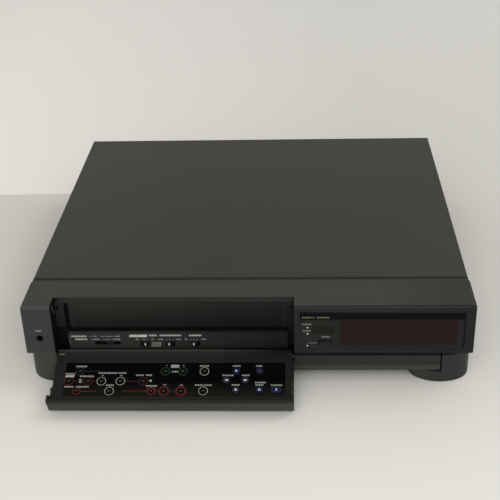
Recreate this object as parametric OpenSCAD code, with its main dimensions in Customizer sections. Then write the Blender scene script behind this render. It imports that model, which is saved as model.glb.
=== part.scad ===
// Video cassette recorder with a drop-down front flap over its cassette slot.
// Millimetres. X runs along the width, Y from the front to the rear, Z up from the table.

/* [Casing] */
// Width of the moulded front panel
body_w = 430; // [428:1:440]
// Height above the table
body_h = 86; // [85:1:92]
// Depth from the front face to the rear edge of the steel cover
body_d = 400; // [395:1:430]
// Height of the front panel's face
face_h = 52.3; // [51.5:0.1:54]
// Wall of the front panel moulding
wall = 2.5; // [2.2:0.1:2.8]
// Depth of the moulded band along the top
band_d = 47; // [44:1:52]
// Rounding of the front panel's outer edges
edge_r = 1.6; // [1:0.1:2.2]
// Sheet thickness of the cover, base and rear panel
sheet = 1.2; // [0.8:0.1:1.4]
// How far each side of the cover is set in from the front panel
cover_inset = 1; // [0.6:0.1:1.6]
// Open seam between neighbouring casing parts
seam = 0.3; // [0.2:0.05:0.5]
// Height of the base plate above the table
base_z = 13.5; // [12:0.5:16]

/* [Front feet] */
// Distance from the front panel's end to the middle of a foot
foot_in = 29.7; // [29:0.1:32]
// Half width of a front foot
foot_a = 28.9; // [26:0.1:29]
// Half depth of a front foot
foot_b = 20; // [17:0.1:21]
// Rounding of the foot's bottom edge
foot_edge = 1.6; // [1:0.1:2.5]
// Gap between the lower rail and the foot's ledge under its end
ledge_gap = 1; // [0.6:0.1:1.5]

/* [Lower rail] */
// Open shadow gap between the front panel and the lower rail
rail_gap = 3.1; // [2.5:0.1:3.6]
// Height of the rail's upright face
rail_face = 10.2; // [9:0.1:11]
// Height of the rail's bevelled lower face
rail_bevel = 7.4; // [6.5:0.1:7.8]
// How far the bevel leans back
rail_lean = 1.2; // [0.8:0.1:2.5]
// Gap between the rail's end and the foot's notch
rail_end_gap = 1.3; // [0.8:0.1:1.8]
// Distance from the front panel's end to the notch that the two feet leave between them
notch_in = 29.2; // [28:0.1:31]

/* [Flap] */
// Width of the left pillar beside the flap
pillar_w = 28.1; // [27.5:0.1:30]
// Distance from the opening's left side to the slot door
open_left = 20.2; // [19.5:0.1:22]
// Distance from the slot door to the opening's right side
open_right = 12.6; // [12:0.1:14]
// Side gap of the flap in its opening
flap_gap = 0.4; // [0.3:0.05:0.6]
// Thickness of the whole flap, skin to control side
flap_t = 8.5; // [8:0.1:9.5]
// Skin of the flap moulding
flap_skin = 2.5; // [2:0.1:2.8]
// Depth of the flap's top lip
lip_d = 18.3; // [17:0.1:20]
// Gap behind the lip when the flap is shut
lip_gap = 0.3; // [0.25:0.05:0.6]
// Height of the lip's end cheeks
cheek_h = 7; // [6:0.5:16]
// Distance of the hinge axis behind the front face
hinge_y = 2.9; // [2.7:0.1:3.2]
// Distance of the hinge axis below the front panel's face
hinge_drop = 5.8; // [5.6:0.1:6.2]
// Angle of the flap when it is open
flap_angle = 114; // [108:1:115]
// Radius of the flap's hinge pins
pin_r = 1.5; // [1.2:0.1:1.6]
// Running clearance of every pin and shaft in its bore
run_fit = 0.05; // [0.03:0.01:0.08]

/* [Cassette slot] */
// Width of a cassette
cassette_w = 187; // [186:0.5:188]
// Height of a cassette
cassette_h = 25; // [24.5:0.5:25.5]
// Depth of a cassette
cassette_d = 103; // [102:0.5:104]
// How far the slot door reaches past the cassette on each side
door_over = 6; // [5.5:0.1:6.5]
// Height of the slot door
door_h = 28; // [27.5:0.1:28.4]
// Thickness of the slot door
door_t = 2; // [1.6:0.1:2.2]
// Distance from the top surface to the slot door
door_drop = 6.5; // [6.2:0.1:7]
// Gap round the slot door
door_gap = 0.3; // [0.25:0.05:0.5]
// Radius of the slot door's hinge pins
door_pin_r = 0.9; // [0.8:0.05:1]

/* [Control strip] */
// Distance of the control strip's face behind the front face
strip_y = 13; // [12.5:0.1:14]
// Distance from the top surface to the strip's ledge
strip_drop = 37.2; // [36.8:0.1:38]
// Height of the strip
strip_h = 18.2; // [17:0.1:18.6]
// Distance from the opening's left side to the strip
strip_left = 11.9; // [11:0.1:13]
// Distance from the strip to the opening's right side
strip_right = 6.5; // [6:0.1:8]
// Length of the level slider's slot
slider_slot = 25.1; // [22:0.1:27]
// Height of the level slider's slot
slider_h = 3.8; // [3.4:0.1:4.2]
// Length of the level slider's knob
slider_knob = 5.9; // [5:0.1:7]
// Length of a slide switch's window
switch_slot = 9; // [8:0.1:10]
// Height of a slide switch's window
switch_h = 6.4; // [5.5:0.1:6.8]
// Length of a slide switch's knob
switch_knob = 4.4; // [3.8:0.1:4.8]

/* [Display] */
// Distance from the smoked window to the front panel's right end
window_out = 9.3; // [8.5:0.1:11]
// Distance from the smoked window to the face's lower edge
window_low = 4.4; // [4:0.1:5.5]
// Distance from the top surface to the window
window_drop = 6.1; // [5.8:0.1:6.6]
// Distance from the flap opening to the window
window_in = 5.4; // [5:0.1:6.5]
// Thickness of the window
window_t = 1.8; // [1.5:0.1:2]
// Distance from the window's left end to the red filter
filter_in = 38.6; // [38:0.1:42]
// Distance from the red filter to the window's right end
filter_out = 5.8; // [5.5:0.1:8]
// Distance from the window's lower edge to the red filter
filter_low = 5; // [4.5:0.1:7]
// Height of the red filter
filter_h = 25.4; // [24:0.1:27]
// Distance from the window's left end to the middle of the operate button
power_in = 23.7; // [21:0.1:25]
// Distance from the window's lower edge to the middle of the operate button
power_up = 7.3; // [6.8:0.1:8]
// Length of the operate button
power_w = 12.6; // [11:0.1:13.5]
// Height of the operate button
power_h = 5.2; // [4.6:0.1:5.6]

/* [Keys] */
// Radius of a large round key
key_r = 3.75; // [3.4:0.05:3.9]
// Radius of a small round key
small_key_r = 3; // [2.8:0.05:3.2]
// Radius of a tape key
tape_key_r = 3.25; // [3:0.05:3.4]
// Half width of the oval eject key
eject_a = 4.8; // [4.4:0.1:5]
// Half height of the oval eject key
eject_b = 2.8; // [2.5:0.1:3]
// Gap round a key in its hole
key_gap = 0.2; // [0.15:0.05:0.3]
// How far a key stands proud
key_proud = 0.9; // [0.6:0.1:1.2]
// How far a key can be pressed
key_travel = 0.8; // [0.5:0.1:0.8]

/* [Mechanism] */
// Radius of the head drum
drum_r = 31; // [30:0.5:31]
// Lean of the head drum
drum_tilt = 6; // [5:0.5:7]
// Distance between the two reel centres
reel_pitch = 92.5; // [92:0.1:93]
// Radius of a reel table
reel_r = 19; // [17:0.5:20]
// Radius of the capstan's flywheel
flywheel_r = 23; // [20:0.5:24]
// How far the carriage draws a cassette in
draw_in = 30; // [26:0.5:30]

/* [Electrics] */
// Distance from the base plate's left side to the middle of the transformer
core_in = 37.4; // [35:0.1:50]
// Distance from the rear panel to the middle of the transformer
core_back = 75; // [60:1:100]
// Width of the transformer's core
core_w = 44; // [40:1:50]
// Depth of the transformer's core
core_d = 36; // [30:1:40]
// Height of the transformer's core
core_h = 36; // [30:1:40]
// Width of the transformer's winding
coil_w = 30; // [26:1:34]
// Depth of the transformer's winding
coil_d = 56; // [50:1:60]
// Height of the transformer's winding
coil_h = 22; // [18:1:24]
// Distance from the flap opening to the main board
board_side = 11.4; // [10:0.1:20]
// Distance from the main board to the base plate's right side
board_rim = 6.9; // [6.8:0.1:10]
// Distance from the front face to the main board
board_front = 60; // [56:1:80]
// Distance from the main board to the rear panel
board_back = 75; // [72:1:100]

/* [Sockets] */
// Distance from the base plate's left side to the middle of the mains inlet
inlet_in = 47.4; // [45:0.1:60]
// Distance from the aerial sockets' middle to the base plate's right side
aerial_in = 117.4; // [110:0.1:125]
// Distance from the phono sockets' middle to the base plate's right side
phono_in = 62.4; // [55:0.1:70]
// Distance from the front panel's end to the middle of a rear foot
rear_foot_in = 50; // [40:1:70]
// Distance from the cover's rear edge to the middle of a rear foot
rear_foot_back = 42; // [30:1:60]
// Radius of a phono socket's sleeve
phono_r = 4.15; // [4.1:0.05:4.2]
// Bore of an aerial socket
aerial_r = 4.8; // [4.75:0.05:4.9]
// Bore of the microphone socket
mic_r = 3.2; // [3.15:0.05:3.25]
// How far the rear sockets stand out
socket_len = 8; // [7:0.5:10]

/* [Hidden] */

$fn = 48;
fine = 96;
eps = 0.01;
through = 60;

// Casing planes, with heights counted up from the table
face_z = body_h - face_h;
cover_w = body_w - 2 * cover_inset;
cover_in_x = cover_w / 2 - sheet;
cover_in_z = body_h - sheet;
base_top = base_z + sheet;
rear_y = body_d - 1;

// Hinge of the flap and the span of its opening
hinge_z = face_z - hinge_drop;
door_w = cassette_w + 2 * door_over;
open_x0 = pillar_w - body_w / 2;
open_x1 = open_x0 + open_left + door_w + open_right;
flap_x0 = open_x0 + flap_gap;
flap_x1 = open_x1 - flap_gap;
cut_d = lip_d + lip_gap;
stop_gap = 0.3;
notch_x = body_w / 2 - notch_in;
rail_top = face_z - rail_gap;
rail_z0 = rail_top - rail_face - rail_bevel;
ledge_h = rail_z0 - ledge_gap;
rest_z = hinge_z - (hinge_y + stop_gap - hinge_y * cos(flap_angle)) / sin(flap_angle);

// Slot, strip and window places
slot_x = open_x0 + open_left + door_w / 2;
frame_y = cut_d + seam;
frame_t = 2.5;
door_top = body_h - door_drop;
door_z = door_top - door_h;
door_hinge_y = frame_y + door_t * 0.7;
door_hinge_z = door_top - 1.3;
strip_z1 = body_h - strip_drop;
strip_z0 = strip_z1 - strip_h;
strip_x0 = open_x0 + strip_left;
strip_x1 = open_x1 - strip_right;
window_x0 = open_x1 + window_in;
window_x1 = body_w / 2 - window_out;
window_z1 = body_h - window_drop;
window_z0 = face_z + window_low;
window_y = 0.2;
window_back = window_y + window_t + 0.1;
window_rim = 1.8;

// The point that the open flap reaches furthest forward, which places the origin
flap_reach = hinge_y + (lip_d - hinge_y) * cos(flap_angle) - (body_h - hinge_z) * sin(flap_angle);
rear_reach = rear_y + socket_len;
front_y = -(flap_reach + rear_reach) / 2;

// Mechanism levels
deck_t = 1.5;
deck_z = 27;
deck_top = deck_z + deck_t;
cradle_wall = 1.2;
cradle_in = cassette_w / 2 + 1;
cradle_y = frame_y + door_h + 3;
cradle_len = cassette_d + 5;
cradle_z = door_z - 0.1;
cradle_land = 2.7;
draw_down = cradle_z - cradle_wall - deck_top - cradle_land;
reel_y = cradle_y + draw_in + cassette_d / 2;
drum_x = slot_x - 8;
drum_y = cradle_y + draw_in + cradle_len + drum_r + 8;
capstan_side = 58;
capstan_x = slot_x + capstan_side;
capstan_y = cradle_y + draw_in + cradle_len + 8;

// Moves a child from the casing's own frame, front face at Y = 0, to the origin
module at_front() {
    translate([0, front_y, 0]) children();
}

// The two limits in rising order
function span(a, b) = [min(a, b), max(a, b)];

// Box between three pairs of limits
module slab(x, y, z) {
    translate([x[0], y[0], z[0]]) cube([x[1] - x[0], y[1] - y[0], z[1] - z[0]]);
}

// Cylinder along X between two limits
module rod_x(x, y, z, r) {
    translate([x[0], y, z]) rotate([0, 90, 0]) cylinder(r = r, h = x[1] - x[0]);
}

// Cylinder along Y between two limits
module rod_y(x, y, z, r) {
    translate([x, y[1], z]) rotate([90, 0, 0]) cylinder(r = r, h = y[1] - y[0]);
}

// Cylinder along Z between two limits
module rod_z(x, y, z, r) {
    translate([x, y, z[0]]) cylinder(r = r, h = z[1] - z[0]);
}

// Rectangle with round corners, from primitives so that its arcs stay true
module round_square(x, y, r) {
    union() {
        translate([x[0] + r, y[0]]) square([x[1] - x[0] - 2 * r, y[1] - y[0]]);
        translate([x[0], y[0] + r]) square([x[1] - x[0], y[1] - y[0] - 2 * r]);
        for (cx = [x[0] + r, x[1] - r], cy = [y[0] + r, y[1] - r])
            translate([cx, cy]) circle(r = r);
    }
}

// Extrusion along Y of an outline drawn in X and Z
module along_y(y) {
    translate([0, y[1], 0]) rotate([90, 0, 0]) linear_extrude(y[1] - y[0]) children();
}

// Extrusion along X of an outline drawn in Y and Z
module along_x(x) {
    translate([x[0], 0, 0]) rotate([90, 0, 90]) linear_extrude(x[1] - x[0]) children();
}

// Front panel

// Outer block of the panel, its three roundings cut as crossed extrusions
module panel_block() {
    half = body_w / 2;
    intersection() {
        along_x([-half, half]) round_square([0, band_d + 10], [face_z - 10, body_h], edge_r);
        along_y([0, band_d]) round_square([-half, half], [face_z, body_h], edge_r);
        linear_extrude(body_h) round_square([-half, half], [0, band_d + 10], edge_r);
    }
}

function oval(a, b, n) = [for (i = [0:n - 1]) [a * cos(360 * i / n), b * sin(360 * i / n)]];

// One front foot: an oval column with a rounded bottom edge
module foot_column(side) {
    rings = [[0, 1], [0.3, 0.3], [1, 0]];
    translate([side * (body_w / 2 - foot_in), foot_b - 0.6, 0]) hull()
        for (ring = rings) {
            z = foot_edge * ring[0];
            inset = foot_edge * ring[1];
            translate([0, 0, z]) linear_extrude(face_z + 1 - z)
                polygon(oval(foot_a - inset, foot_b - inset, 48));
        }
}

module front_panel() {
    half = body_w / 2;
    color([0.25, 0.26, 0.25]) at_front() difference() {
        union() {
            difference() {
                panel_block();
                // Hollow behind the face, open to the rear and below the band
                slab([wall - half, half - wall], [wall, band_d + 1], [face_z - 1, body_h - wall]);
            }
            // Lips that turn in under the pillars and the display
            slab([edge_r - half, open_x0], [wall - eps, cut_d], [face_z, face_z + wall]);
            slab([open_x1, half - edge_r], [wall - eps, cut_d], [face_z, face_z + wall]);
            // Returns on both sides of the flap opening
            slab([open_x0 - wall, open_x0], [wall - eps, frame_y + frame_t], [face_z, body_h - wall + eps]);
            slab([open_x1, open_x1 + wall], [wall - eps, frame_y + frame_t], [face_z, body_h - wall + eps]);
            // Flange that turns down behind the flap's lip
            slab([open_x0 - wall, open_x1 + wall], [cut_d, cut_d + 2], [door_top, body_h - wall + eps]);
            // Tongue that carries the cover's front edge
            slab([cover_in_x * -1 + seam, cover_in_x - seam], [band_d - 6, band_d + 7],
                [cover_in_z - wall - seam, cover_in_z - seam]);
            // Frame behind the display window
            slab([window_x0 - 3, window_x1 + 3], [wall - eps, window_back + window_rim],
                [window_z0 - 3, window_z1 + 1]);
            for (side = [-1, 1]) {
                foot_column(side);
                // Lower part of each side wall, behind the foot
                slab([side < 0 ? -half : half - wall, side < 0 ? wall - half : half],
                    [foot_b + 14, band_d], [base_z, face_z + edge_r]);
            }
        }
        // Flap opening through the face and the top
        slab([open_x0, open_x1], [-1, cut_d], [face_z - 1, body_h + 1]);
        // Notch between the feet for the rail and the flap's lower edge
        slab([-notch_x, notch_x], [-2, 2 * foot_b + 2], [ledge_h, face_z]);
        // Room behind the flap's lip for the slot frame, over the top of the foot
        slab([open_x0, notch_x], [cut_d, 2 * foot_b + 2], [ledge_h, face_z + 1 + eps]);
        // Hollow inside each foot, open at the rear
        for (side = [-1, 1])
            slab([side * (body_w / 2 - 17) - 8, side * (body_w / 2 - 17) + 8], [8, 2 * foot_b], [4, face_z - 4]);
        // Rebate for the window, and the hole behind it
        slab([window_x0 - 0.15, window_x1 + 0.15], [-1, window_back], [window_z0 - 0.15, window_z1 + 0.15]);
        slab([filter_x0, filter_x0 + filter_w], [0, band_d - 10], [filter_z0, filter_z0 + filter_h]);
        slab([power_x - power_w / 2 - 1, power_x + power_w / 2 + 1], [0, 20],
            [power_z - power_h / 2 - 1, power_z + power_h / 2 + 1]);
        // Socket hole and the hinge pin's bore
        rod_y(mic_x, [-1, 10], mic_z, mic_body_r + 0.1);
        rod_x([-notch_x - 7, -notch_x + 1], hinge_y, hinge_z, pin_r + run_fit);
    }
}

// Places on the front panel
mic_in = 12.9;
mic_drop = 35.1;
mic_x = open_x0 - mic_in;
mic_z = body_h - mic_drop;
mic_body_r = mic_r + 0.9;
filter_x0 = window_x0 + filter_in;
filter_w = window_x1 - filter_out - filter_x0;
filter_z0 = window_z0 + filter_low;
power_x = window_x0 + power_in;
power_z = window_z0 + power_up;

// Lower rail between the feet
rail_wall = 2.2;
rail_d = 10.2;

module rail_outline(top) {
    crease = rail_top - rail_face;
    polygon([[0, top], [0, crease], [rail_lean, rail_z0], [rail_d, rail_z0],
        [rail_d, rail_z0 + rail_wall], [rail_lean + rail_wall, rail_z0 + rail_wall],
        [rail_wall, crease], [rail_wall, top - rail_wall], [rail_d, top - rail_wall], [rail_d, top]]);
}

module lower_rail() {
    half = notch_x - rail_end_gap;
    start = open_x1 + 0.6;
    color([0.2, 0.21, 0.2]) at_front() difference() {
        union() {
            along_x([start, half]) rail_outline(rail_top);
            along_x([-half, start + eps]) rail_outline(rest_z);
            // End caps, the left one of the tall part carries the flap's pin
            slab([start, start + 8], [rail_wall - eps, 9], [rest_z - 2, rail_top - eps]);
            slab([half - 2, half], [rail_wall - eps, 9], [rail_z0 + 2, rail_top - eps]);
            slab([-half, 2 - half], [rail_wall - eps, 9], [rail_z0 + 2, rest_z - eps]);
        }
        rod_x([start - 1, start + 7], hinge_y, hinge_z, pin_r + run_fit);
    }
}

// Steel cover: top and two sides from one bent sheet
module top_cover() {
    outer = cover_w / 2;
    color([0.27, 0.27, 0.25]) at_front() difference() {
        along_y([band_d + seam, body_d]) difference() {
            round_square([-outer, outer], [base_z - 10, body_h], edge_r);
            translate([sheet - outer, base_z - 20]) square([2 * cover_in_x, cover_in_z - base_z + 20]);
            translate([-outer - 1, base_z - 11]) square([2 * outer + 2, 11 + 0.5]);
        }
        for (side = [-1, 1], y = screw_ys)
            rod_x([side * outer - 3, side * outer + 3], y, screw_z, screw_r + 0.3);
    }
}

// Cover screws: two on each side
screw_ys = [band_d + 45, body_d - 45];
screw_z = base_z + 9;
screw_r = 1.6;
screw_head_r = 3.4;
screw_head_h = cover_inset - 0.1;

module cover_screws() {
    outer = cover_w / 2;
    color([0.18, 0.18, 0.18]) at_front()
        for (side = [-1, 1], y = screw_ys) translate([side * outer, y, screw_z])
            rotate([0, side * 90, 0]) difference() {
                union() {
                    cylinder(r1 = screw_head_r, r2 = screw_head_r - 0.6, h = screw_head_h);
                    translate([0, 0, -8]) cylinder(r = screw_r, h = 8 + eps);
                }
                for (turn = [0, 90]) rotate(turn) translate([-1.9, -0.45, screw_head_h - 0.4]) cube([3.8, 0.9, 2]);
            }
}

// Base plate: a pressed pan with turned-up sides, air slots and feet behind
pan_x = min(cover_in_x - seam, body_w / 2 - wall - 0.1);
pan_y0 = 2 * foot_b + 0.4;
pan_side = 16;

module base_plate() {
    tongue_x = body_w / 2 - foot_in - foot_a - 1.5;
    color([0.32, 0.33, 0.34]) at_front() difference() {
        union() {
            slab([-pan_x, pan_x], [pan_y0, rear_y - sheet], [base_z, base_top]);
            slab([-tongue_x, tongue_x], [10.5, pan_y0 + eps], [base_z, base_top]);
            slab([-tongue_x, tongue_x], [10.5, 10.5 + sheet], [base_z, base_top + 8]);
            for (side = [-1, 1]) difference() {
                slab([side < 0 ? -pan_x : pan_x - sheet, side < 0 ? sheet - pan_x : pan_x],
                    [band_d + 1, rear_y - sheet], [base_z, base_z + pan_side]);
                for (y = screw_ys)
                    rod_x([side * pan_x - 3, side * pan_x + 3], y, screw_z, screw_r + 0.1);
            }
            // Stiffening beads pressed into the floor
            for (x = [-150, 120])
                slab([x - 3, x + 3], [pan_y0 + 20, rear_y - 150], [base_top - eps, base_top + 1]);
        }
        for (x = [-90:12:-30], y = [rear_y - 50])
            slab([x - 2, x + 2], [y - 18, y + 18], [base_z - 1, base_top + 1]);
        for (x = [60:12:108], y = [rear_y - 120])
            slab([x - 2, x + 2], [y - 18, y + 18], [base_z - 1, base_top + 1]);
    }
}

// Two turned feet under the rear
foot_rear_x = body_w / 2 - rear_foot_in;
foot_rear_y = body_d - rear_foot_back;

module rear_feet() {
    color([0.12, 0.12, 0.12]) at_front()
        for (side = [-1, 1]) translate([side * foot_rear_x, foot_rear_y, 0]) difference() {
            union() {
                cylinder(r1 = 11, r2 = 12, h = 3);
                translate([0, 0, 3 - eps]) cylinder(r = 12, h = base_z - 3 + eps);
            }
            translate([0, 0, -1]) cylinder(r = 4, h = 5);
        }
}

// Rear panel with its sockets
inlet_x = inlet_in - pan_x;
inlet_z = 38;
aerial_x = pan_x - aerial_in;
aerial_z = 46;
aerial_pitch = 24;
phono_x = pan_x - phono_in;
phono_z = 44;
phono_pitch = 15;

module rear_panel() {
    y = [rear_y - sheet, rear_y];
    color([0.3, 0.31, 0.32]) at_front() difference() {
        union() {
            slab([-pan_x, pan_x], y, [base_z, cover_in_z - seam]);
            slab([-pan_x, pan_x], [rear_y - 10, y[1]], [cover_in_z - seam - sheet, cover_in_z - seam]);
        }
        slab([inlet_x - 13.2, inlet_x + 13.2], [y[0] - 1, y[1] + 1], [inlet_z - 8.7, inlet_z + 8.7]);
        for (i = [-0.5, 0.5])
            rod_y(aerial_x + i * aerial_pitch, [y[0] - 1, y[1] + 1], aerial_z, aerial_r + 1.4);
        for (i = [-1, 0, 1], j = [-0.5, 0.5])
            rod_y(phono_x + i * phono_pitch, [y[0] - 1, y[1] + 1], phono_z + j * phono_pitch, phono_r + 0.6);
        // Air slots
        for (x = [-110:9:-20])
            slab([x - 2, x + 2], [y[0] - 1, y[1] + 1], [base_z + 40, base_z + 62]);
    }
}

// Mains inlet: a moulded block with a figure-of-eight well and two pins
module mains_inlet() {
    color([0.08, 0.08, 0.08]) at_front() union() {
        difference() {
            slab([inlet_x - 13, inlet_x + 13], [rear_y - 20, rear_y + 1.5], [inlet_z - 8.5, inlet_z + 8.5]);
            for (i = [-1, 1])
                rod_y(inlet_x + i * 4.4, [rear_y - 10, rear_y + 2], inlet_z, 4.8);
            slab([inlet_x - 4.4, inlet_x + 4.4], [rear_y - 10, rear_y + 2], [inlet_z - 3.2, inlet_z + 3.2]);
        }
        for (i = [-1, 1])
            rod_y(inlet_x + i * 4.4, [rear_y - 10.5, rear_y - 1], inlet_z, 1.2);
        // Flange against the outside of the panel
        difference() {
            slab([inlet_x - 15, inlet_x + 15], [rear_y, rear_y + 1.5], [inlet_z - 10.5, inlet_z + 10.5]);
            slab([inlet_x - 12, inlet_x + 12], [rear_y - 1, rear_y + 2], [inlet_z - 7.5, inlet_z + 7.5]);
        }
    }
}

// Two coaxial aerial sockets on their shielded tuner box
module aerial_sockets() {
    color([0.7, 0.7, 0.68]) at_front() union() {
        difference() {
            union() {
                slab([aerial_x - 26, aerial_x + 26], [rear_y - 68, rear_y - sheet],
                    [aerial_z - 12, aerial_z + 12]);
                for (i = [-0.5, 0.5])
                    rod_y(aerial_x + i * aerial_pitch, [rear_y - 4, rear_y + socket_len],
                        aerial_z, aerial_r + 1.2);
            }
            for (i = [-0.5, 0.5])
                rod_y(aerial_x + i * aerial_pitch, [rear_y - 2, rear_y + socket_len + 1],
                    aerial_z, aerial_r);
        }
        rod_y(aerial_x - aerial_pitch / 2, [rear_y - 4, rear_y + socket_len - 1], aerial_z, 1.2);
        rod_y(aerial_x + aerial_pitch / 2, [rear_y - 4, rear_y + socket_len - 3], aerial_z, 1.9);
    }
}

// Six phono sockets on one moulded bracket
module phono_sockets() {
    color([0.75, 0.73, 0.65]) at_front() difference() {
        union() {
            slab([phono_x - 23, phono_x + 23], [rear_y - 12, rear_y - sheet], [phono_z - 15, phono_z + 15]);
            for (i = [-1, 0, 1], j = [-0.5, 0.5])
                rod_y(phono_x + i * phono_pitch, [rear_y - 4, rear_y + socket_len],
                    phono_z + j * phono_pitch, phono_r);
            // Collars that fill the rear panel's holes
            for (i = [-1, 0, 1], j = [-0.5, 0.5])
                rod_y(phono_x + i * phono_pitch, [rear_y - 4, rear_y], phono_z + j * phono_pitch, phono_r + 0.5);
        }
        for (i = [-1, 0, 1], j = [-0.5, 0.5]) {
            rod_y(phono_x + i * phono_pitch, [rear_y - 6, rear_y + socket_len + 1],
                phono_z + j * phono_pitch, 1.6);
            rod_y(phono_x + i * phono_pitch, [rear_y + 5, rear_y + socket_len + 1],
                phono_z + j * phono_pitch, 3);
        }
    }
}

// Microphone socket behind the left pillar
module mic_socket() {
    color([0.2, 0.2, 0.2]) at_front() difference() {
        union() {
            rod_y(mic_x, [0.4, 10], mic_z, mic_body_r);
            slab([mic_x - 7, mic_x + 7], [wall + 0.1, 22], [mic_z - 7, mic_z + 7]);
        }
        rod_y(mic_x, [-1, 17], mic_z, mic_r);
    }
}

// Slot frame with the control strip below the cassette door
hole_drop = 11.6;
groove_x = slot_x - door_w / 2 - 9.9;

module slot_frame() {
    x = [open_x0 + 0.2, open_x1 - 0.2];
    half = door_w / 2 + door_gap;
    low = hinge_z + 2;
    back = frame_y + frame_t;
    color([0.17, 0.17, 0.17]) at_front() difference() {
        union() {
            difference() {
                slab(x, [frame_y, back], [low, door_top - 0.1]);
                slab([slot_x - half, slot_x + half], [frame_y - 1, back + 1], [door_z - door_gap, door_top + 1]);
            }
            // Ears for the door's hinge pins
            for (side = [-1, 1])
                slab([slot_x + side * (half + 3) - 3, slot_x + side * (half + 3) + 3],
                    [frame_y, frame_y + 5], [door_hinge_z - 3.5, door_top - 0.1]);
            // Control strip: a hollow box with its ledge level with the slot's lower edge
            difference() {
                slab([strip_x0, strip_x1], [strip_y, frame_y + eps], [strip_z0, strip_z1]);
                slab([strip_x0 + 2, strip_x1 - 2], [strip_y + 2, back + 1], [strip_z0 + 1.2, strip_z1 - 2]);
            }
        }
        // Hollow of the strip, open through the frame to the rear
        slab([strip_x0 + 2, strip_x1 - 2], [strip_y + 2, back + 1], [strip_z0 + 1.2, strip_z1 - 2]);
        // Upright groove at the left of the door
        slab([groove_x, groove_x + 3.4], [frame_y - 1, frame_y + 1.8], [strip_z1 + 1, door_top]);
        // Catch holes that hold the shut flap
        for (px = [open_x0 + 2.1, open_x1 - 2.1])
            rod_y(px, [frame_y - 1, frame_y + 2], body_h - hole_drop, 0.9);
        // Windows of the slider and the three switches
        slab([slider_x - slider_slot / 2, slider_x + slider_slot / 2], [strip_y - 1, strip_y + 3],
            [slider_z - slider_h / 2, slider_z + slider_h / 2]);
        for (sx = switch_xs)
            slab([sx - switch_slot / 2, sx + switch_slot / 2], [strip_y - 1, strip_y + 3],
                [switch_z - switch_h / 2, switch_z + switch_h / 2]);
        for (side = [-1, 1])
            rod_x([slot_x + side * (half + 3) - 5, slot_x + side * (half + 3) + 5],
                door_hinge_y, door_hinge_z, door_pin_r + run_fit);
    }
}

// Places along the strip
slider_x = strip_x0 + 37.8;
slider_z = strip_z1 - 12.2;
slider_at = 2;
switch_xs = [strip_x0 + 74.5, strip_x0 + 99.2, strip_x0 + 123.9];
switch_z = strip_z1 - 13.3;
slide_gap = 0.2;

// Knob of a slider: a head in the window, a plate that runs behind it, and a stem
module slide_knob(x, z, w, h) {
    low = z - h / 2 + slide_gap;
    at_front() union() {
        slab([x - w / 2, x + w / 2], [strip_y - 0.6, strip_y + 2.4], [low, z + h / 2 - slide_gap]);
        slab([x - w / 2 - 1.2, x + w / 2 + 1.2], [strip_y + 2.3, strip_y + 3.6], [low, z + h / 2 + 1.5]);
        slab([x - 1.5, x + 1.5], [strip_y + 3.5, frame_y + frame_t + 2], [z - 1.2, z + 1.2]);
    }
}

module level_slider() {
    color([0.14, 0.14, 0.14]) slide_knob(slider_x + slider_at, slider_z, slider_knob, slider_h);
}

module tape_switch() {
    color([0.1, 0.1, 0.1]) slide_knob(switch_xs[1] - 1.3, switch_z, switch_knob, switch_h);
}

module edit_switch() {
    color([0.1, 0.1, 0.1]) slide_knob(switch_xs[0], switch_z, switch_knob, switch_h);
}

module system_switch() {
    color([0.1, 0.1, 0.1]) slide_knob(switch_xs[2] - 1.9, switch_z, switch_knob, switch_h);
}

// Cassette door, hinged along its top edge and swinging inwards
module cassette_door() {
    half = door_w / 2;
    color([0.15, 0.15, 0.15]) at_front() difference() {
        union() {
            slab([slot_x - half, slot_x + half], [frame_y, frame_y + door_t], [door_z, door_top - 0.6]);
            rod_x([slot_x - half - 4, slot_x + half + 4], door_hinge_y, door_hinge_z, door_pin_r);
            // Ribs on the inner side
            for (i = [-2:2])
                slab([slot_x + i * 40 - 0.8, slot_x + i * 40 + 0.8], [frame_y + door_t - eps, frame_y + door_t + 1.2],
                    [door_z + 3, door_top - 8]);
        }
        // Shallow grooves at the door's ends
        for (side = [-1, 1])
            slab([slot_x + side * (half - 4) - 0.3, slot_x + side * (half - 4) + 0.3],
                [frame_y - 1, frame_y + 0.4], [door_z - 1, door_top]);
    }
}

// Display
module display_window() {
    color([0.08, 0.09, 0.1]) at_front() difference() {
        slab([window_x0, window_x1], [window_y, window_y + window_t], [window_z0, window_z1]);
        slab([power_x - power_w / 2 - 0.4, power_x + power_w / 2 + 0.4], [-1, 5],
            [power_z - power_h / 2 - 0.4, power_z + power_h / 2 + 0.4]);
    }
}

module display_filter() {
    color([0.3, 0.05, 0.04]) at_front()
        slab([filter_x0 + 0.1, filter_x0 + filter_w - 0.1], [window_back, window_back + 1],
            [filter_z0 + 0.1, filter_z0 + filter_h - 0.1]);
}

// Vacuum display tube on its own small board
module display_tube() {
    y = window_back + 1.2;
    color([0.5, 0.6, 0.6]) at_front() union() {
        slab([filter_x0 + 4, filter_x0 + filter_w - 4], [y, y + 6], [filter_z0 + 2, filter_z0 + filter_h - 2]);
        slab([window_x0 + 2, window_x1 - 2], [y + 6, y + 7.6], [window_z0, window_z1 - 4]);
        for (x = [filter_x0 + 8:6:filter_x0 + filter_w - 8])
            slab([x - 0.4, x + 0.4], [y + 5, y + 6.5], [filter_z0 - 1, filter_z0 + 2 + eps]);
        for (x = [window_x0 + 5, window_x1 - 5], z = [window_z0 + 3, window_z1 - 7])
            rod_y(x, [window_back + window_rim, y + 6 + eps], z, 2);
    }
}

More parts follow.
